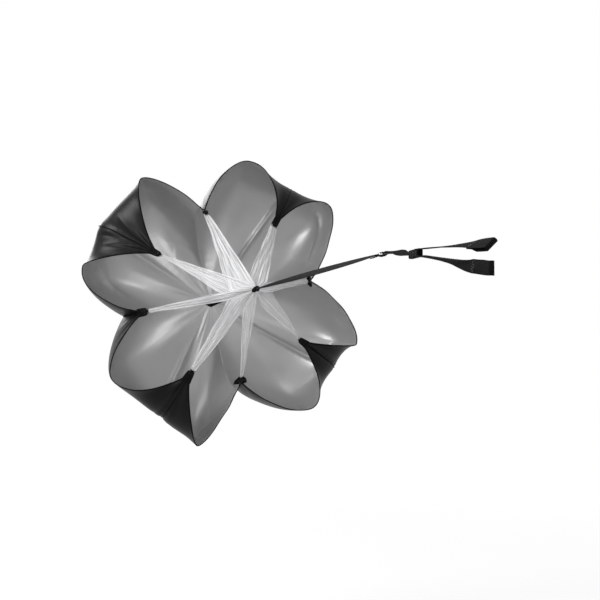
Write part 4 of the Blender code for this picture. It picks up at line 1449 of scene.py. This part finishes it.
def make_block():
    shares = np.linspace(0, 1, BLOCK_STEPS + 1)
    middle = BLOCK_START + PULL * (shares * BLOCK_LENGTH)[:, None]
    turns = np.linspace(0, math.tau, BLOCK_SIDES, endpoint=False)
    lift = np.stack([np.cos(turns), np.sin(turns)], axis=-1)
    square = np.sign(lift) * np.abs(lift) ** BLOCK_SQUARENESS * np.array([BLOCK_WIDTH / 2, BLOCK_HEIGHT / 2])
    swell = 1 - BLOCK_SWELL / (BLOCK_WIDTH / 2) * (1 - np.abs(np.sin(shares * math.pi * 4)))
    add_tape("yoke_block_wrap", middle, np.broadcast_to(SIDEWAYS, middle.shape), square, WEBBING_BLACK, "yoke",
             "yoke_block", swell)
    rows = []
    reach = UPWARD * BLOCK_HEIGHT * BLOCK_TACK_SHARE
    for side in (SIDEWAYS, -SIDEWAYS):
        face = BLOCK_START + side * (BLOCK_WIDTH / 2 - BLOCK_SWELL)
        for share in BLOCK_TACK_ROWS:
            for shift in BLOCK_TACK_SHIFTS:
                centre = face + PULL * (BLOCK_LENGTH * share + shift)
                rows += stitch_row(centre - reach, centre + reach, side, BLOCK_TACK_PITCH)
    add_stitches("yoke_block_tacks", rows, "yoke")


make_block()

# %% [markdown]
# ## Belt legs
#
# Each leg leaves the block nearly flat, turns as it goes, and ends in a loop that a waist belt can pass
# through. The upper one ends half turned, the lower one stands fully on edge.

# %% Make the legs
LEG_STEPS = 70


def make_leg(node, start, stations, body):
    def place(shares):
        """Points, turns and the directions behind the webbing, at shares of the leg's length."""
        drop, turn = smooth_stations(stations, np.atleast_1d(shares)).T
        along = PULL * np.atleast_1d(shares)[:, None] - UPWARD * drop[:, None]
        return list(zip(start + along * LEG_LENGTH, turn, np.cross(turned(turn), PULL)))

    end = 1 - BELT_GAP / LEG_LENGTH
    path = [(point, turn) for point, turn, _ in place(np.linspace(0, end, LEG_STEPS + 1))]
    (point, turn, behind), = place(end)
    radius = (BELT_GAP + WEBBING) / 2
    for angle in np.linspace(0, math.pi, LOOP_STEPS + 1)[1:-1]:
        path.append((point + (PULL * math.sin(angle) + behind * (1 - math.cos(angle))) * radius, turn))
    back = np.linspace(BELT_GAP, BELT_FOLD, BELT_STEPS + 1)
    ease = np.clip((back - BELT_LOOP) / (BELT_FOLD - BELT_LOOP) * 2, 0, 1)
    steps = 2 * radius + (PLY_STEP - 2 * radius) * eased(ease)
    for (point, turn, behind), step in zip(place(1 - back / LEG_LENGTH), steps):
        path.append((point + behind * step, turn))
    add_webbing(f"{node}_webbing", [(point, WEBBING_WIDTH, turn) for point, turn in path], body, node)
    box_ends = np.array([BELT_FOLD - BOX_MARGIN, (BELT_LOOP + BELT_FOLD) / 2 + BOX_MARGIN])
    (a, turn, behind), (b, _, far_behind) = place(1 - box_ends / LEG_LENGTH)
    rows = box_stitches(a + behind * PLY_STEP / 2, b + far_behind * PLY_STEP / 2, turned(turn))
    add_stitches(f"{node}_stitches", rows, body)


make_leg("upper_leg", LEG_START + UPWARD * UPPER_LEG_START, UPPER_LEG_STATIONS, "upper_belt_leg")
make_leg("lower_leg", LEG_START - UPWARD * LOWER_LEG_START, LOWER_LEG_STATIONS, "lower_belt_leg")
